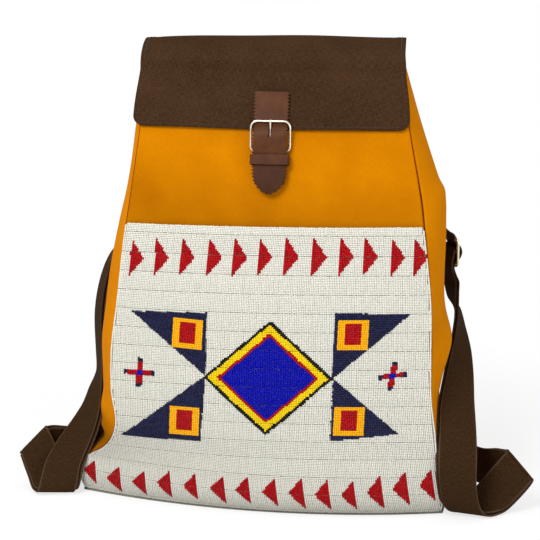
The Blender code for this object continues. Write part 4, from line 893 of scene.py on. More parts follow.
def flap_points(a, s, margin, height):
    """Points of the flap: a from left to right, s from the front hem (0) over the front turn
    (1) and the back turn (2) to the edge on the back (3)."""
    hem_z, back_z = FLAP_FRONT_Z + margin, FLAP_BACK_Z + margin
    up, over = np.minimum(s, 1.0), np.clip(s - 1.0, 0.0, 1.0)
    front_z = hem_z + (FLAP_TURN_Z - hem_z) * up
    back_z = FLAP_TURN_Z + (back_z - FLAP_TURN_Z) * np.maximum(s - 2.0, 0.0)
    low, high = (hem + (turn - hem) * up + (rear - turn) * over
                 for hem, turn, rear in zip(FLAP_HEM, FLAP_TURN, FLAP_BACK))
    low = low + 2.6 * MM * hump(s, 1.05, 0.42)
    high = high - 3.3 * MM * hump(np.maximum(s, 1.0), 1.0, 0.6) / (1 + np.exp((0.72 - s) / 0.14))
    below = front_z - hem_z
    radius = FLAP_CORNER_R - margin * 0.5
    cut = radius - np.sqrt(np.maximum(0.0, radius ** 2 - (radius - below) ** 2))
    cut = np.where((s < 1.0) & (below < radius), cut, 0.0)
    x = low + cut + margin + (high - low - 2 * cut - 2 * margin) * a
    height = np.full(x.shape, height)
    ahead = raised(front, front_share(x, front_z), front_z, FRONT_WAY, height)
    behind = raised(back, back_share(x, back_z), back_z, BACK_WAY, height)
    swing = -np.cos(math.pi * over)
    y = (ahead[..., 1] + behind[..., 1]) / 2 + (behind[..., 1] - ahead[..., 1]) / 2 * swing
    rise = FLAP_RISE + FLAP_RISE_RIGHT * a + FLAP_BACK_RISE * swing + FLAP_CROWN * arch(a)
    rise = rise + height - FLAP_STACK
    turn_z = ahead[..., 2] + (behind[..., 2] - ahead[..., 2]) * (s - 1.0)
    top = points(x, y, turn_z + rise * np.maximum(np.sin(math.pi * over), 0.0) ** 0.42)
    made = np.where((s <= 1.0)[..., None], points(x, ahead[..., 1], ahead[..., 2]), top)
    return np.where((s >= 2.0)[..., None], points(x, behind[..., 1], behind[..., 2]), made)


def sewn_row(grid, normal, place):
    """A row of stitches just above the cloth, for stitches()."""
    return grid[place] + normal[place] * 0.1 * MM, normal[place]


def flap():
    hem = np.concatenate((np.linspace(0.0, 0.03, 6)[:-1], np.linspace(0.03, 1.0, 46)))
    turn = 1.0 + (1.0 - np.cos(np.linspace(0.0, math.pi, 60)[1:])) / 2
    s = np.concatenate((hem, turn, np.linspace(2.0, 3.0, 12)[1:]))
    a, s = np.meshgrid(np.linspace(0.0, 1.0, FLAP_COLUMNS), s)
    grid = flap_points(a, s, 0.0, FLAP_STACK)
    normal = grid_normals(grid)
    normal = normal if float(np.sum(normal @ np.asarray(FLAP_WAY))) > 0 else -normal
    turn_width = FLAP_TURN[1] - FLAP_TURN[0]
    hem = np.minimum(np.minimum(a, 1 - a) * turn_width, flat_measure(grid)[..., 1])
    fold = 0.45 * MM * (1 / (1 + np.exp((hem - HEM_WIDTH) / (0.5 * MM))))
    dimple = -0.15 * MM * hump(hem, EDGE_STITCH, 0.8 * MM)
    soft = 0.7 * MM * np.sin(a * 9 + s * 4) * np.sin(a * 4 - s * 7) * np.clip(hem / 0.02, 0, 1)
    grid = grid + normal * (fold + dimple + soft - 0.35 * MM)[..., None]
    made = shell("flap_cloth", grid, FLAP_T - 0.2 * MM, BROWN, FLAP_WAY, rim=4)
    stand_in(made, "flap")
    size = flat_measure(grid)
    first = int(round(EDGE_STITCH / turn_width * (FLAP_COLUMNS - 1)))
    last = FLAP_COLUMNS - 1 - first
    row = int(np.argmin(np.abs(size[:, FLAP_COLUMNS // 2, 1] - EDGE_STITCH)))
    places = (np.s_[9:-4, first], np.s_[9:-4, last], np.s_[row, first:last])
    stitches("flap_stitches", [sewn_row(grid, normal, place) for place in places],
             DARK_THREAD, 2.6 * MM, radius=0.32 * MM)
    lining = flap_points(a[::2, ::2], s[::2, ::2], 4.0 * MM, SOFT_GAP + FLAP_LINING_T)
    stand_in(shell("flap_cotton", lining, FLAP_LINING_T, COTTON, FLAP_WAY),
             "flap_lining")


# Beadwork

# Motifs in millimetres on the front. Each leans by lean (x for each z) and tilts by tilt (z for
# each x) about its middle, as it does on the bag.
# Diamond: middle, half sizes, lean, tilt
DIAMOND = ((6.5, 150.8), (66.0, 59.6), 0.034, 0.015)
# Fields of the diamond, from how far inside its outline each begins
DIAMOND_FIELDS = (("diamond_outline", 0.0, BLACK), ("diamond_yellow_band", 3.0, YELLOW),
                  ("diamond_red_line", 9.5, RED), ("diamond_blue_field", 12.2, BLUE))
# Wings: corners, middle of the square, half sizes of the square and of its centre, lean, tilt
WINGS = (
    ("upper_left", ((-134, 213), (-56, 216), (-57.5, 151.5)), (-76, 194), (15.5, 15.2),
     (8.6, 10.5), 0.057, -0.05),
    ("lower_left", ((-57.5, 151), (-148, 80), (-63, 81)), (-79.5, 102.5), (15.4, 15.2),
     (8.6, 10.8), 0.05, -0.015),
    ("upper_right", ((74, 219), (149, 218), (72, 152)), (92, 197.5), (15.4, 15.2),
     (8.6, 10.5), 0.035, 0.01),
    ("lower_right", ((73, 152), (70, 86), (139, 94)), (89, 108), (15.4, 15.2),
     (8.6, 10.8), 0.05, 0.0),
)
# Crosses: middle, half sizes, lean, tilt
CROSSES = (("left", (-126, 150), (16.0, 15.4), 0.09, -0.03),
           ("right", (132.5, 155), (13.8, 14.6), 0.17, 0.12))
CROSS_HALF_BAR = (3.1, 2.4)
CROSS_TIP = 3.8
# Rows of small triangles: x and z of each, width, half height of the first and last, and way
TOP_ROW = ((-137, -111, -84, -56, -30, -5, 22, 50, 77, 101, 128, 151),
           (266, 268, 270, 271, 272, 273, 274, 274, 275, 275, 274, 274), 14.6, (18.4, 18.4), 1)
BOTTOM_ROW = ((-180, -153, -124, -97, -68, -39, -12, 16, 43, 70, 97, 123, 149, 176),
              (26, 22, 23, 26, 27, 27, 29, 29, 29, 28, 28, 31, 35, 38), 14.0, (13.0, 18.4), -1)
# The upright strings lean a little: sideways drift with height, its spread across the panel
# and its growth with height
DRIFT_Z = 150
DRIFT = -0.016
DRIFT_SPREAD = -0.049 / 150
DRIFT_GROWTH = 0.079 / 240


def string_x(q, z):
    """x of the upright string that crosses DRIFT_Z at q, in millimetres."""
    rise = z - DRIFT_Z
    return q + (DRIFT + DRIFT_SPREAD * q) * rise + DRIFT_GROWTH * rise ** 2


def string_at(x, z):
    """The string through x and z, named by where it crosses DRIFT_Z."""
    rise = z - DRIFT_Z
    return (x - DRIFT * rise - DRIFT_GROWTH * rise ** 2) / (1 + DRIFT_SPREAD * rise)


def lane_shift(x, z):
    """How far a lane lies above its height at the middle, in millimetres: most at the top."""
    return (0.010 * x - 0.00005 * x * x) * z / 300


def inside(corners, x, z):
    signs = []
    for (ax, az), (bx, bz) in zip(corners, corners[1:] + corners[:1]):
        signs.append((bx - ax) * (z - az) - (bz - az) * (x - ax) > 0)
    return np.logical_and.reduce(signs) | ~np.logical_or.reduce(signs)


def upright(x, z, middle, lean, tilt):
    """x and z taken back to a motif's own straight axes about its middle."""
    dx, dz = x - middle[0], z - middle[1]
    share = 1.0 - lean * tilt
    return (dx - lean * dz) / share, (dz - tilt * dx) / share


def small_triangles(x, z):
    """True on the two rows of small triangles, whose flat sides follow the strings."""
    q = string_at(x, z)
    made = np.zeros(x.shape, bool)
    for xs, zs, wide, talls, way in (TOP_ROW, BOTTOM_ROW):
        for x0, z0, tall in zip(xs, zs, np.linspace(*talls, len(xs))):
            dx = (q - string_at(x0, z0)) * way
            made |= (dx > 0) & (dx < wide) & (np.abs(z - z0) < tall * (1 - dx / wide) + 0.6)
    return made


def bead_kinds(x, z):
    """Which motif each bead belongs to, and its color: x and z in millimetres."""
    motif = np.full(x.shape, "ivory", dtype="U32")
    color = np.full(x.shape, IVORY)

    def paint(hit, name, shade):
        motif[hit], color[hit] = name, shade

    paint(small_triangles(x, z), "small_triangles", RED)
    middle, (w, h), lean, tilt = DIAMOND
    a, b = upright(x, z, middle, lean, tilt)
    ripple = 0.35 * np.sin(a * 0.16 + b * 0.11) * np.sin(a * 0.05 - b * 0.21 + 1.0)
    depth = (1 - (np.abs(a) / w + np.abs(b) / h)) * w * h / math.hypot(w, h) + ripple
    for name, low, shade in DIAMOND_FIELDS:
        paint(depth > low, name, shade)
    for name, corners, middle, square, centre, lean, tilt in WINGS:
        paint(inside(corners, x, z), "wing_" + name, NAVY)
        a, b = upright(x, z, middle, lean, tilt)
        for half, label, shade in ((square, "square_", ORANGE), (centre, "square_centre_", RED)):
            paint((np.abs(a) < half[0]) & (np.abs(b) < half[1]), label + name, shade)
    for name, middle, (arm_a, arm_b), lean, tilt in CROSSES:
        a, b = (np.abs(v) for v in upright(x, z, middle, lean, tilt))
        stem, bar = a < CROSS_HALF_BAR[0], b < CROSS_HALF_BAR[1]
        hit = (stem & (b < arm_b)) | (bar & (a < arm_a))
        paint(hit, "cross_" + name, RED)
        color[hit & ((b > arm_b - CROSS_TIP) | (a > arm_a - CROSS_TIP))] = NAVY
        color[stem & bar] = BLUE
    return motif, color


def lane_beads():
    """Beads on the upright strings: x and z in millimetres, and how far the lane swells there.
    The strings at both ends of a lane follow the panel's edges."""
    found = []
    strings = np.arange(-230.0, 231.0, BEAD_PITCH)
    for top, low in zip(LANE_LINES, LANE_LINES[1:]):
        rows = max(1, int(round((top - low) / BEAD_PITCH)))
        heights = low + (np.arange(rows) + 0.5) / rows * (top - low - 0.5) + 0.25
        slip = SEED.normal(0.0, 0.12, len(strings))
        s = section(heights * MM)
        low_x, high_x = s["xl"][:, None] / MM, s["xr"][:, None] / MM
        q, z = np.meshgrid(strings, heights)
        z = z + slip[None, :] + SEED.normal(0.0, 0.03, z.shape)
        x = string_x(q + SEED.normal(0.0, 0.04, len(strings))[None, :], z)
        z = z + lane_shift(x, z)
        keep = (x > low_x + 2.1) & (x < high_x - 2.1)
        swell = min(1.0, (top - low) / FULL_LANE)
        found.append((x[keep], z[keep], arch((z[keep] - low) / (top - low)) * swell))
        for edge in (low_x[:, 0] + EDGE_BEAD, high_x[:, 0] - EDGE_BEAD):
            found.append((edge, heights + lane_shift(edge, heights),
                          arch((heights - low) / (top - low)) * swell))
    x, z, puff = (np.concatenate(column) for column in zip(*found))
    s = section(z * MM)
    corner = np.minimum(x - s["xl"] / MM, s["xr"] / MM - x)
    over = z - lane_shift(x, z) - PANEL_CORNER_Z
    cut = (corner < PANEL_CORNER) & (over > 0)
    cut &= np.hypot(PANEL_CORNER - corner, over) > PANEL_CORNER - 0.5
    return x[~cut], z[~cut], puff[~cut]


def wing_beads():
    """Beads on the level strings of the wings and their squares: x and z in millimetres."""
    found = []
    for _, corners, middle, _, _, lean, tilt in WINGS:
        a, b = np.meshgrid(np.arange(-80.0, 81.0, 1.82), np.arange(-60.0, 61.0, BEAD_PITCH))
        a = a + SEED.normal(0.0, 0.12, a.shape[0])[:, None] + SEED.normal(0.0, 0.04, a.shape)
        b = b + SEED.normal(0.0, 0.04, b.shape)
        x = middle[0] + a + lean * b
        z = middle[1] + b + tilt * a
        hit = inside(corners, x, z) | ((np.abs(a) < 16) & (np.abs(b) < 16))
        found.append((x[hit], z[hit]))
    return tuple(np.concatenate(column) for column in zip(*found))


def on_wing(motif):
    return np.char.startswith(motif, "wing") | np.char.startswith(motif, "square")


def beadwork():
    x, z, puff = lane_beads()
    motif, color = bead_kinds(x, z)
    lane = ~on_wing(motif)
    level_x, level_z = wing_beads()
    level_motif, level_color = bead_kinds(level_x, level_z)
    wing = on_wing(level_motif)
    stands = np.concatenate((np.ones(lane.sum(), bool), np.zeros(wing.sum(), bool)))
    pairs = ((x, level_x), (z, level_z), (motif, level_motif), (color, level_color),
             (puff, np.full(len(level_x), 0.7)))
    x, z, motif, color, puff = (np.concatenate((a[lane], b[wing])) for a, b in pairs)
    x, z = x * MM, z * MM
    u = front_share(x, z)
    across, up = tangents(front, u, z)
    normal = outward(front, u, z, FRONT_WAY)
    axes = np.where(stands[:, None], up, across)
    axes = square_to(unit(axes + SEED.normal(0.0, 0.02, axes.shape)), normal)
    plain = motif == "ivory"
    high = 1.75 + 0.45 * puff + SEED.normal(0.0, 0.03, len(u)) + np.where(plain, 0.0, 0.35)
    centres = front(u, z) + normal * (high * MM)[:, None]
    length = np.where(plain, 1.80, 1.92) * MM * SEED.uniform(0.98, 1.03, len(u))
    radius = np.where(plain, 1.0, 1.10) * BEAD_R * MM * SEED.uniform(1.01, 1.06, len(u))
    tint = SEED.uniform(0.0, 1.0, len(u))

    def piece(name, chosen, node):
        used = np.unique(color[chosen])
        order = np.concatenate([np.flatnonzero(chosen & (color == shade)) for shade in used])
        mesh = quad_mesh(name, *barrels(centres[order], axes[order], normal[order],
                                        length[order], radius[order]))
        # tint varies each bead's color at random; end carries the painted shade where beads meet
        for label, values in (("tint", np.repeat(tint[order], 12)),
                              ("end", np.tile(BEAD_PAINTED_SHADE, len(order)))):
            layer = mesh.attributes.new(label, "FLOAT", "POINT")
            layer.data.foreach_set("value", values.astype(np.float32))
        made = add_mesh(name, mesh, [BEAD_LOOKS[shade] for shade in used])
        kinds = np.repeat(np.searchsorted(used, color[order]), 8)
        mesh.polygons.foreach_set("material_index", kinds.astype(np.int32))
        stand_in(made, node)

    low, high = LANE_LINES[11] * MM, LANE_LINES[5] * MM
    piece("beads_ivory_low", plain & (z < low), "bead_panel")
    piece("beads_ivory_middle", plain & (z >= low) & (z < high), "bead_panel")
    piece("beads_ivory_high", plain & (z >= high), "bead_panel")
    piece("beads_small_triangles", motif == "small_triangles", "bead_panel")
    for name in sorted(set(motif.tolist()) - {"ivory", "small_triangles"}):
        piece("beads_" + name, motif == name, name)


def bead_backing():
    u, z = np.meshgrid(np.linspace(0.004, 0.996, 70), np.linspace(5.0, 301.6, 90))
    z = (z + lane_shift(front(u, z * MM)[..., 0] / MM, z)) * MM
    panel("bead_backing", front, u, z, FRONT_WAY, np.full(u.shape, 1.95 * MM), 1.2 * MM, BACKING,
          "bead_panel")


# Clasp: v runs up the front from the heel bar and w out of it

def front_point(z):
    return front(front_share(CLASP_X, z), z)


CLASP_ORIGIN = front_point(HEEL_Z)
_, RUN_Y, RUN_Z = front_point(HEEL_Z + FRAME_H) - CLASP_ORIGIN
LEAN = math.atan2(RUN_Y, RUN_Z)
UP = np.array((0.0, math.sin(LEAN), math.cos(LEAN)))
OUT = np.array((0.0, -math.cos(LEAN), math.sin(LEAN)))


def panel_height(v):
    """How far the front stands out of the clasp's straight line at v."""
    z = HEEL_Z + 0.0 * np.asarray(v)
    for _ in range(12):
        z = z + (v - (front_point(z) - CLASP_ORIGIN) @ UP) * UP[2]
    return (front_point(z) - CLASP_ORIGIN) @ OUT


def clasp_point(v, w, x=0.0):
    v, w, x = (np.asarray(value)[..., None] for value in (v, w, x))
    return CLASP_ORIGIN + UP * v + OUT * w + RIGHT_WAY * x


# Layers at the clasp, from the front outwards
HEEL_W = GAP + 2 * PRONG_R + GAP + WIRE_R + GAP
LEG_REAR_W = GAP + CHAPE_T / 2
KEEPER_REAR_W = LEG_REAR_W + CHAPE_T / 2 + GAP + KEEPER_T / 2
LEG_FRONT_W = KEEPER_REAR_W + KEEPER_T / 2 + GAP + CHAPE_T / 2
STRAP_REST_W = LEG_FRONT_W + CHAPE_T / 2 + GAP + LEATHER_T / 2
STRAP_FLAP_W = FLAP_STACK + GAP + LEATHER_T / 2
BAR_W = STRAP_FLAP_W + LEATHER_T / 2 + WIRE_R + 2.2 * MM
FRAME_TILT = math.asin((BAR_W - HEEL_W) / FRAME_H)
PRONG_TIP_W = BAR_W + WIRE_R + 2 * GAP + PRONG_R


def strap_line():
    """The strap's middle line as (v, w): flat on the flap, behind the outer bar, out over the
    prong and the heel bar, and down through the keeper."""
    over_heel = HEEL_W + WIRE_R + GAP + 2 * PRONG_R + GAP + LEATHER_T / 2
    bulge = over_heel + 3.2 * MM
    spots = [(v * MM, panel_height(v * MM) + STRAP_FLAP_W + more * MM)
             for v, more in ((60, 0), (45, 0), (35, 0), (30, 0.2), (26, 0.7))]
    spots += [(22.0 * MM, (STRAP_FLAP_W + bulge) / 2 + 0.7 * MM), (18.5 * MM, bulge - 0.4 * MM),
              (14.0 * MM, bulge), (7.0 * MM, bulge - 1.2 * MM), (0.0, over_heel + 0.5 * MM),
              (KEEPER_TOP_V, STRAP_REST_W + KEEPER_BULGE)]
    spots += [(v, STRAP_REST_W + more * MM + panel_height(v)) for v, more in (
        (KEEPER_TOP_V - KEEPER_H, 0.3), (-CHAPE_LENGTH, 0.0), (-44 * MM, -0.6))]
    return smooth(spots, 24)


def leather_strap():
    """Pinked along both sides and round its tip, with a slot that the prong comes through."""
    line = strap_line()
    run = lengths(line)
    total = run[-1]
    spots = np.linspace(0.0, total, int(round(total / (0.45 * MM))) + 1)
    line = along(line, run, spots)
    share = np.clip(1.0 - (total - spots) / STRAP_TIP, 0.0, 1.0)
    half = (STRAP_W / 2 - STRAP_EASE) * np.maximum(1.0 - share ** 2, 0.0) ** 0.60
    tooth = np.abs(((spots / TOOTH_PITCH) % 1.0) - 0.5) * 2.0
    half = np.maximum(half - TOOTH_DEPTH * tooth ** 1.8, 2.0 * MM)
    slope = np.gradient(line, axis=0)
    normal = unit(np.stack((-slope[:, 1], slope[:, 0]), axis=1))
    normal = -normal if normal[0, 1] < 0 else normal
    columns = np.concatenate((np.linspace(-1, -0.1, 12), (-0.094, 0.094), np.linspace(0.1, 1, 12)))
    v, w = (line[:, k:k + 1] + normal[:, k:k + 1] * STRAP_CROWN * (1 - columns ** 2)
            for k in (0, 1))
    verts = clasp_point(v, w, columns * half[:, None])
    index = np.arange(v.size).reshape(v.shape)
    uncut = np.ones((len(line) - 1, len(columns) - 1), bool)
    uncut[(line[:-1, 0] > SLOT_V[0]) & (line[:-1, 0] < SLOT_V[1]), 12] = False
    flat = points(columns[None] * STRAP_W / 2, spots[:, None], 0.0)[..., :2]
    mesh = quad_mesh("leather_strap", verts.reshape(-1, 3), grid_quads(index)[uncut.ravel()],
                     flat.reshape(-1, 2))
    made = add_mesh("leather_strap", mesh, (LEATHER, LEATHER_EDGE))
    if sum(polygon.normal.y for polygon in mesh.polygons) > 0:
        mesh.flip_normals()
    solid = made.modifiers.new("thickness", "SOLIDIFY")
    solid.thickness = LEATHER_T
    solid.offset = 0.0
    solid.use_even_offset = False
    solid.use_rim = True
    solid.material_offset_rim = 1
    edge = made.modifiers.new("edge", "BEVEL")
    edge.width = 0.25 * MM
    edge.segments = 2
    edge.limit_method = "ANGLE"
    edge.angle_limit = math.radians(60)
    stand_in(made, "flap_strap")
    xs = np.linspace(-15.5, 15.5, 20) * MM
    crown = STRAP_CROWN * (1 - (xs / (STRAP_W / 2)) ** 2)
    lift = STRAP_FLAP_W + LEATHER_T / 2 + 0.05 * MM
    rows = [(clasp_point(np.full(20, v), panel_height(v) + lift + crown, xs),
             np.tile(OUT, (20, 1))) for v in (34 * MM, 37 * MM)]
    stitches("strap_stitches", rows, DARK_THREAD, 2.0 * MM, radius=0.28 * MM)


def buckle():
    heel = clasp_point(0.0, HEEL_W)
    turned = UP * math.cos(FRAME_TILT) + OUT * math.sin(FRAME_TILT)
    width = STRAP_W + 1.0 * MM + 2 * WIRE_R
    outline = densely(rounded(width, FRAME_H, FRAME_CORNERS, 8))
    path = in_plane(heel + turned * FRAME_H / 2, RIGHT_WAY, turned, outline)
    stand_in(tube("frame_wire", path, WIRE_R, True, 16, "frame"),
             "buckle_frame")
    turns = np.radians(np.arange(-50, -291, -8))
    hook = (WIRE_R + GAP + PRONG_R) * np.column_stack((np.sin(turns), np.cos(turns)))
    tip = np.array((FRAME_H * math.cos(FRAME_TILT) + 0.4 * MM, PRONG_TIP_W - HEEL_W))
    shaft = hook[-1] + (tip - hook[-1]) * np.linspace(0.04, 1.0, 24)[:, None]
    path = in_plane(heel, UP, OUT, np.concatenate((hook, shaft)))
    stand_in(tube("prong_wire", path, PRONG_R, sides=16, body="prong"),
             "buckle_prong")


def extruded(name, outlines, thickness, bevel, first, second, origin):
    """Flat outlines on two axes, filled and given a thickness, with softened edges."""
    curve = bpy.data.curves.new(name, "CURVE")
    curve.dimensions = "2D"
    curve.fill_mode = "BOTH"
    curve.extrude = thickness / 2 - bevel
    curve.bevel_depth = bevel
    curve.bevel_resolution = 2
    curve.offset = -bevel
    for spots in outlines:
        spline = curve.splines.new("POLY")
        spline.points.add(len(spots) - 1)
        for point, spot in zip(spline.points, spots):
            point.co = (spot[0], spot[1], 0.0, 1.0)
        spline.use_cyclic_u = True
    holder = bpy.data.objects.new(name, curve)
    bpy.context.scene.collection.objects.link(holder)
    bpy.context.view_layer.update()
    solid = holder.evaluated_get(bpy.context.evaluated_depsgraph_get())
    mesh = bpy.data.meshes.new_from_object(solid)
    bpy.data.objects.remove(holder, do_unlink=True)
    axes = np.column_stack((first, second, np.cross(first, second), origin))
    mesh.transform(Matrix(axes.tolist() + [(0, 0, 0, 1)]))
    bm = bmesh.new()
    bm.from_mesh(mesh)
    bmesh.ops.remove_doubles(bm, verts=bm.verts, dist=0.004 * MM)
    bmesh.ops.recalc_face_normals(bm, faces=bm.faces)
    bm.to_mesh(mesh)
    bm.free()
    mesh.materials.clear()
    return add_mesh(name, mesh, (LEATHER,), smooth_faces=False)


def chape_and_keeper():
    bend = WIRE_R + GAP
    near, far = LEG_REAR_W - HEEL_W, LEG_FRONT_W - HEEL_W
    angles = np.radians(np.arange(-90, 91, 12))
    run = np.linspace(-CHAPE_LENGTH, -4.0 * bend, 10)

    def strip_side(radius, grow):
        arc = radius * np.column_stack((np.cos(angles), np.sin(angles)))
        return np.concatenate((np.column_stack((run, np.full(10, near - grow))), arc,
                               np.column_stack((run[::-1], np.full(10, far + grow)))))

    outline = np.concatenate((strip_side(bend + CHAPE_T, CHAPE_T / 2),
                              strip_side(bend, -CHAPE_T / 2)[::-1]))
    outline[:, 1] += np.where(outline[:, 0] < 0, panel_height(outline[:, 0]), 0.0)
    pieces = []
    for k, way in enumerate((-1, 1)):
        heel = clasp_point(0.0, HEEL_W, way * (15.0 * MM - CHAPE_SIDE_W / 2))
        pieces.append(extruded("chape_side_%d" % (k + 1), [outline], CHAPE_SIDE_W, 0.15 * MM,
                               UP, OUT, heel))
    v = np.linspace(-CHAPE_LENGTH, -5.0 * MM, 8)
    rear, face = (near + grow * CHAPE_T / 2 + panel_height(v) for grow in (-1, 1))
    leg = np.column_stack((np.concatenate((v, v[::-1])), np.concatenate((rear, face[::-1]))))
    for name, out in (("chape_rear", 0.0), ("chape_front", far - near)):
        pieces.append(extruded(name, [leg + (0.0, out)], 3.5 * MM, 0.05 * MM, UP, OUT,
                               clasp_point(0.0, HEEL_W)))
    for made in pieces:
        stand_in(made, "buckle_chape")
    middle = KEEPER_TOP_V - KEEPER_H / 2
    low = KEEPER_REAR_W + KEEPER_T / 2 + panel_height(middle)
    high = STRAP_REST_W + KEEPER_BULGE + LEATHER_T / 2 + 2 * GAP
    width, height = STRAP_W + 0.8 * MM, high - low
    outer = rounded(width + 2 * KEEPER_T, height + 2 * KEEPER_T, (1.8 * MM,) * 4, 5)
    inner = rounded(width, height, (0.6 * MM,) * 4, 3)
    stand_in(extruded("leather_keeper", [outer, inner], KEEPER_H, 0.3 * MM, RIGHT_WAY, OUT,
                      clasp_point(middle, (low + high) / 2)), "keeper_loop")


# Shoulder straps: a band is an array of pairs of edge points

def run_normals(band, way):
    """Unit normals of a band, on the side of way where it starts."""
    ahead = np.gradient(band.mean(axis=1), axis=0)
    normal = unit(np.cross(band[:, 1] - band[:, 0], ahead))
    alike = np.sum(normal * np.concatenate((way[None], normal[:-1])), axis=1) > 0
    return normal * np.cumprod(np.where(alike, 1.0, -1.0))[:, None]


def ring_turn(middle, half, first, normal, radius, start, end):
    """A band that turns round a bar, half its width to each side of middle."""
    angles = np.radians(np.linspace(start, end, 9))[:, None]
    centre = middle + first * radius * np.sin(angles) + normal * radius * np.cos(angles)
    return np.stack((centre - half, centre + half), axis=1)


def strap_band(bar, run, rise, laid, ring, side_way):
    """One strap: from the back over the slider's bar, down to the lower ring, round it and
    back up to end round the slider's bar."""
    x, z = np.moveaxis(np.array(laid[::-1]) * MM, -1, 0)
    on_back = raised(back, back_share(x, z), z, BACK_WAY, np.full(x.shape, WEB_LIFT + WEB_T / 2))
    upper = np.concatenate((on_back, np.array(rise[::-1]) * MM))
    middle, half = bar.mean(axis=0), (bar[1] - bar[0]) / 2
    way = unit(np.cross(UPWARD, half))
    way = way if way @ side_way > 0 else -way
    wrap = SLIDER_R + GAP + WEB_T / 2
    over = wrap + WEB_T + GAP
    reach = SLIDER_H / 2

    def beside(height, out):
        spot = middle + UPWARD * height + way * out
        return spot - half, spot + half

    threading = [beside(*place) for place in (
        (reach + 4 * MM, -wrap - 1.0 * MM), (reach - 2 * MM, -wrap + 0.3 * MM),
        (6 * MM, over - 2.0 * MM), (0.0, over), (-6 * MM, over - 2.0 * MM),
        (-reach + 2 * MM, -wrap + 0.3 * MM), (-reach - 4 * MM, -wrap))]
    dense = smooth(np.array(run) * MM, 2)
    normals = run_normals(dense, way)
    outer = dense + normals[:, None] * WEB_PAIR
    slip = WEB_SLIP * np.sin(math.pi * np.linspace(0.0, 1.0, len(dense)))
    forward = unit(dense[:, 0] - dense[:, 1]) * slip[:, None]
    inner = dense + (forward - normals * WEB_PAIR)[:, None]
    down = smooth(np.concatenate((upper, threading, outer[:1])), 2)[:-1]
    toward = RIGHT_WAY * -math.copysign(1.0, ring[0])
    near_side = BACK_WAY * math.copysign(1.0, normals[-1] @ BACK_WAY)
    turn = ring_turn(np.array(ring), -UPWARD * WEB_W / 2, toward, near_side,
                     RING_R + GAP + WEB_T / 2, 0.0, 180.0)
    lead = smooth((outer[-2], outer[-1], turn[0], turn[1]), 3)[3:7]
    back_lead = smooth((inner[-2], inner[-1], turn[-1], turn[-2]), 3)[6:2:-1]
    end_turn = ring_turn(middle, half, UPWARD, way, wrap, 180.0, 10.0)
    foot = beside(-reach, -wrap - WEB_T - 2 * GAP)
    rising = smooth((inner[0], foot, end_turn[0]), 3)[1:-1]
    return np.concatenate((down, outer[:-1], lead, turn[1:-1], back_lead, inner[-2::-1],
                           rising, end_turn))


def strap(name, bar, run, rise, laid, ring, side_way):
    band = strap_band(np.array(bar) * MM, run, rise, laid, ring, side_way)
    band = smooth(band, 4)
    share = np.linspace(0.0, 1.0, 15)[None, :, None]
    centre = band[:, :1] * (1 - share) + band[:, 1:] * share
    thin = 1.0 - 0.25 * hump(np.minimum(share, 1 - share), 0.06, 0.03)
    grid = centre + grid_normals(centre) * (WEB_T * 0.42) * thin
    made = shell("webbing_" + name, grid, WEB_T * 0.84, WEBBING)
    stand_in(made, "shoulder_strap_" + name)


def slider(name, bar):
    middle, across = bar.mean(axis=0), unit(bar[1] - bar[0])
    width = WEB_W + WIRE_EASE + 2 * SLIDER_R
    outline = densely(rounded(width, SLIDER_H, (6 * MM,) * 4, 6))
    wire = in_plane(middle, across, UPWARD, outline)
    rod = middle + np.linspace(-width / 2, width / 2, 12)[:, None] * across
    for made in (tube("slider_wire_" + name, wire, SLIDER_R, True),
                 tube("slider_bar_" + name, rod, SLIDER_R * 0.97)):
        stand_in(made, "slider_" + name)


def lower_ring(name, ring):
    toward = RIGHT_WAY * -math.copysign(1.0, ring[0])
    height = WEB_W + WIRE_EASE + 2 * RING_R
    outline = densely(rounded(RING_PITCH, height, (3 * MM,) * 4, 6))
    path = in_plane(np.array(ring) + toward * RING_PITCH / 2, toward, UPWARD, outline)
    stand_in(tube("ring_wire_" + name, path, RING_R, True),
             "lower_ring_" + name)


def lower_tab(name, ring):
    """Webbing folded round the ring's inner side, with both ends sewn to the back."""
    away = RIGHT_WAY * math.copysign(1.0, ring[0])
    bend = RING_R + GAP
    middle = np.array(ring) - away * RING_PITCH
    end_x = middle[0] - away[0] * TAB_LENGTH
    z = np.array((9, 27, 46)) * MM
    rear = back(back_share(end_x, z), z)[:, 1].max()
    near = rear + SOFT_GAP + WEB_T / 2 - middle[1]
    far = near + WEB_T + GAP
    leg = (-TAB_LENGTH, -TAB_LENGTH * 0.8, -TAB_LENGTH * 0.55, -4.0 * bend)
    angles = np.radians(np.arange(-90, 91, 15))
    arc = (bend + WEB_T / 2) * np.column_stack((np.cos(angles), np.sin(angles)))
    path = smooth([(a, near) for a in leg] + arc.tolist() + [(a, far) for a in leg[::-1]], 4)
    half = WEB_W / 2 - 0.8 * MM
    heights = np.linspace(-half, half, 21)[:, None] * UPWARD
    centre = in_plane(middle, away, BACK_WAY, path)[:, None] + heights
    normal = grid_normals(centre)
    normal = -normal if normal[-1, 10, 1] < 0 else normal
    made = shell("tab_" + name, centre + normal * WEB_T * 0.46, WEB_T * 0.92, WEBBING,
                 normal[-1, 10])
    stand_in(made, "lower_tab_" + name)
    top = centre[-1] + BACK_WAY * WEB_T * 0.5
    rows = [top + away * shift for shift in (3.0 * MM, 15.0 * MM)]
    rows += [top[k] + away * np.linspace(3, 15, 8)[:, None] * MM for k in (2, -3)]
    stitches("tab_stitches_" + name, [(row, np.tile(BACK_WAY, (len(row), 1))) for row in rows],
             DARK_THREAD, 2.2 * MM)


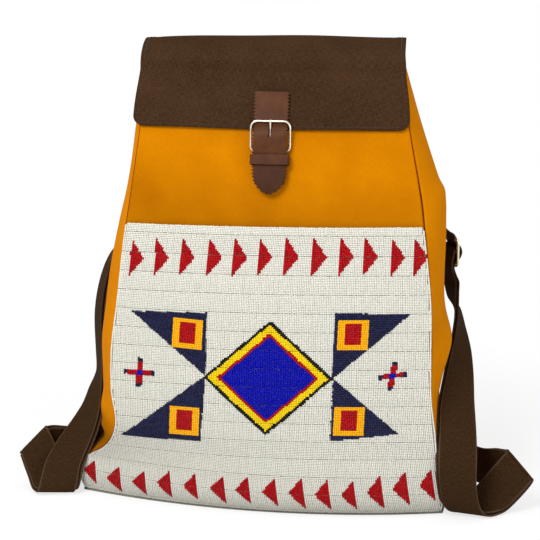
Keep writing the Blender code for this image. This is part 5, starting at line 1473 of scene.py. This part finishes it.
def yoke():
    width, tall, low = YOKE
    u, z = np.meshgrid(np.linspace(0.0, 1.0, 110), low + tall * np.linspace(0.0, 1.0, 20))
    x = -width / 2 + width * u
    edge = np.minimum(np.minimum(u, 1 - u) * width, np.minimum(z - low, low + tall - z))
    height = WEB_LIFT + WEB_T + SOFT_GAP + 1.6 * MM - 0.3 * MM * hump(edge, 3.2 * MM, 0.8 * MM)
    grid = panel("yoke_cloth", back, back_share(x, z), z, BACK_WAY, height, 1.5 * MM, BROWN,
                 "strap_yoke")
    normal = grid_normals(grid)
    normal = normal if float(np.sum(normal @ BACK_WAY)) > 0 else -normal
    places = [np.s_[k, 2:-2] for k in (3, 16)]
    places += [np.s_[3:17, k] for k in (2, -3)]
    places += [np.s_[3:17, int(round((x0 * MM / width + 0.5) * 109))]
               for x0 in (-82, -52, -22, 22, 52, 82)]
    stitches("yoke_stitches", [sewn_row(grid, normal, place) for place in places], DARK_THREAD)


# Stage: pale floor, soft light and the camera

def white_floor():
    """A pale floor that shades softly under the bag and is plain white to the camera beyond."""
    look = bpy.data.materials.new("pale_floor")
    look.use_nodes = True
    nodes = Nodes(look.node_tree)
    nodes.tree.nodes.clear()
    diffuse = nodes.node("BsdfDiffuse", {"Color": (0.9, 0.9, 0.9)}).outputs[0]
    glow = nodes.node("Emission", {"Color": (1.0, 1.0, 1.0), "Strength": 1.0}).outputs[0]
    where = nodes.node("TexCoord").outputs["Object"]
    far = nodes.node("VectorMath", {0: where}, operation="LENGTH").outputs["Value"]
    spread = nodes.node("MapRange", {"Value": far, "From Min": 0.30, "From Max": 0.62,
                                     "To Min": 0.72, "To Max": 1.0}).outputs[0]
    share = nodes.math("MULTIPLY", nodes.seen(), spread)
    mixed = nodes.node("MixShader", {0: share, 1: diffuse, 2: glow}).outputs[0]
    nodes.node("OutputMaterial", {0: mixed})
    mesh = bpy.data.meshes.new("pale_floor")
    size = 9.0
    corners = [(-size, -size, 0), (size, -size, 0), (size, size, 0), (-size, size, 0)]
    mesh.from_pydata(corners, [], [(0, 1, 2, 3)])
    mesh.materials.append(look)
    made = bpy.data.objects.new("pale_floor", mesh)
    made.location = (0.0, 0.0, -0.2 * MM)
    bpy.context.scene.collection.objects.link(made)


def lights():
    """Soft studio light; the world is brighter to the camera than to the bag."""
    world = bpy.data.worlds.new("studio")
    bpy.context.scene.world = world
    world.use_nodes = True
    sky = world.node_tree.nodes["Background"].inputs
    sky["Color"].default_value = (1.0, 1.0, 1.0, 1.0)
    nodes = Nodes(world.node_tree)
    level = nodes.node("MapRange", {"Value": nodes.seen(), "To Min": 0.5, "To Max": 1.0})
    nodes.tree.links.new(level.outputs[0], sky["Strength"])
    for name, place, size, power in (("key", (-1.0, -2.1, 2.4), 1.4, 82.0),
                                     ("fill", (2.4, -1.4, 1.1), 1.4, 18.0),
                                     ("top", (0.0, -0.2, 2.7), 1.6, 12.0)):
        light = bpy.data.lights.new(name, "AREA")
        light.shape = "DISK"
        light.size = size
        light.energy = power
        holder = bpy.data.objects.new(name, light)
        holder.location = place
        way = Vector((0.0, 0.0, 0.2)) - Vector(place)
        holder.rotation_euler = way.to_track_quat("-Z", "Y").to_euler()
        bpy.context.scene.collection.objects.link(holder)


def camera():
    """6 degrees to the right of the front and 15 degrees above it, as in the photograph."""
    made = bpy.data.cameras.new("photo_camera")
    made.lens = 153.846
    made.sensor_width = 36.0
    made.shift_y = 0.0037
    made.clip_end = 60.0
    holder = bpy.data.objects.new("photo_camera", made)
    scene = bpy.context.scene
    scene.collection.objects.link(holder)
    holder.matrix_world = Matrix(((0.99452, -0.02705, 0.10097, 0.2423),
                                  (0.10453, 0.25740, -0.96063, -2.3055),
                                  (0.0, 0.96593, 0.25882, 0.8612), (0.0, 0.0, 0.0, 1.0)))
    scene.camera = holder
    scene.view_settings.view_transform = "Standard"


def main():
    white_floor()
    lights()
    camera()
    canvas_front()
    canvas_gusset("gusset_left", left, LEFT_WAY, MUSTARD_LEFT_LIT_SHADED)
    canvas_gusset("gusset_right", right, RIGHT_WAY, MUSTARD)
    canvas_back()
    base()
    inner_bag()
    seam_stitches()
    flap()
    bead_backing()
    beadwork()
    leather_strap()
    buckle()
    chape_and_keeper()
    for name, bar, ring in (("right", RIGHT_SLIDER, RIGHT_RING), ("left", LEFT_SLIDER, LEFT_RING)):
        slider(name, np.array(bar) * MM)
        lower_ring(name, ring)
        lower_tab(name, ring)
    strap("right", RIGHT_SLIDER, RIGHT_RUN, RIGHT_RISE, RIGHT_BACK, RIGHT_RING, RIGHT_WAY)
    strap("left", LEFT_SLIDER, LEFT_RUN, LEFT_RISE, LEFT_BACK, LEFT_RING, LEFT_WAY)
    yoke()


main()
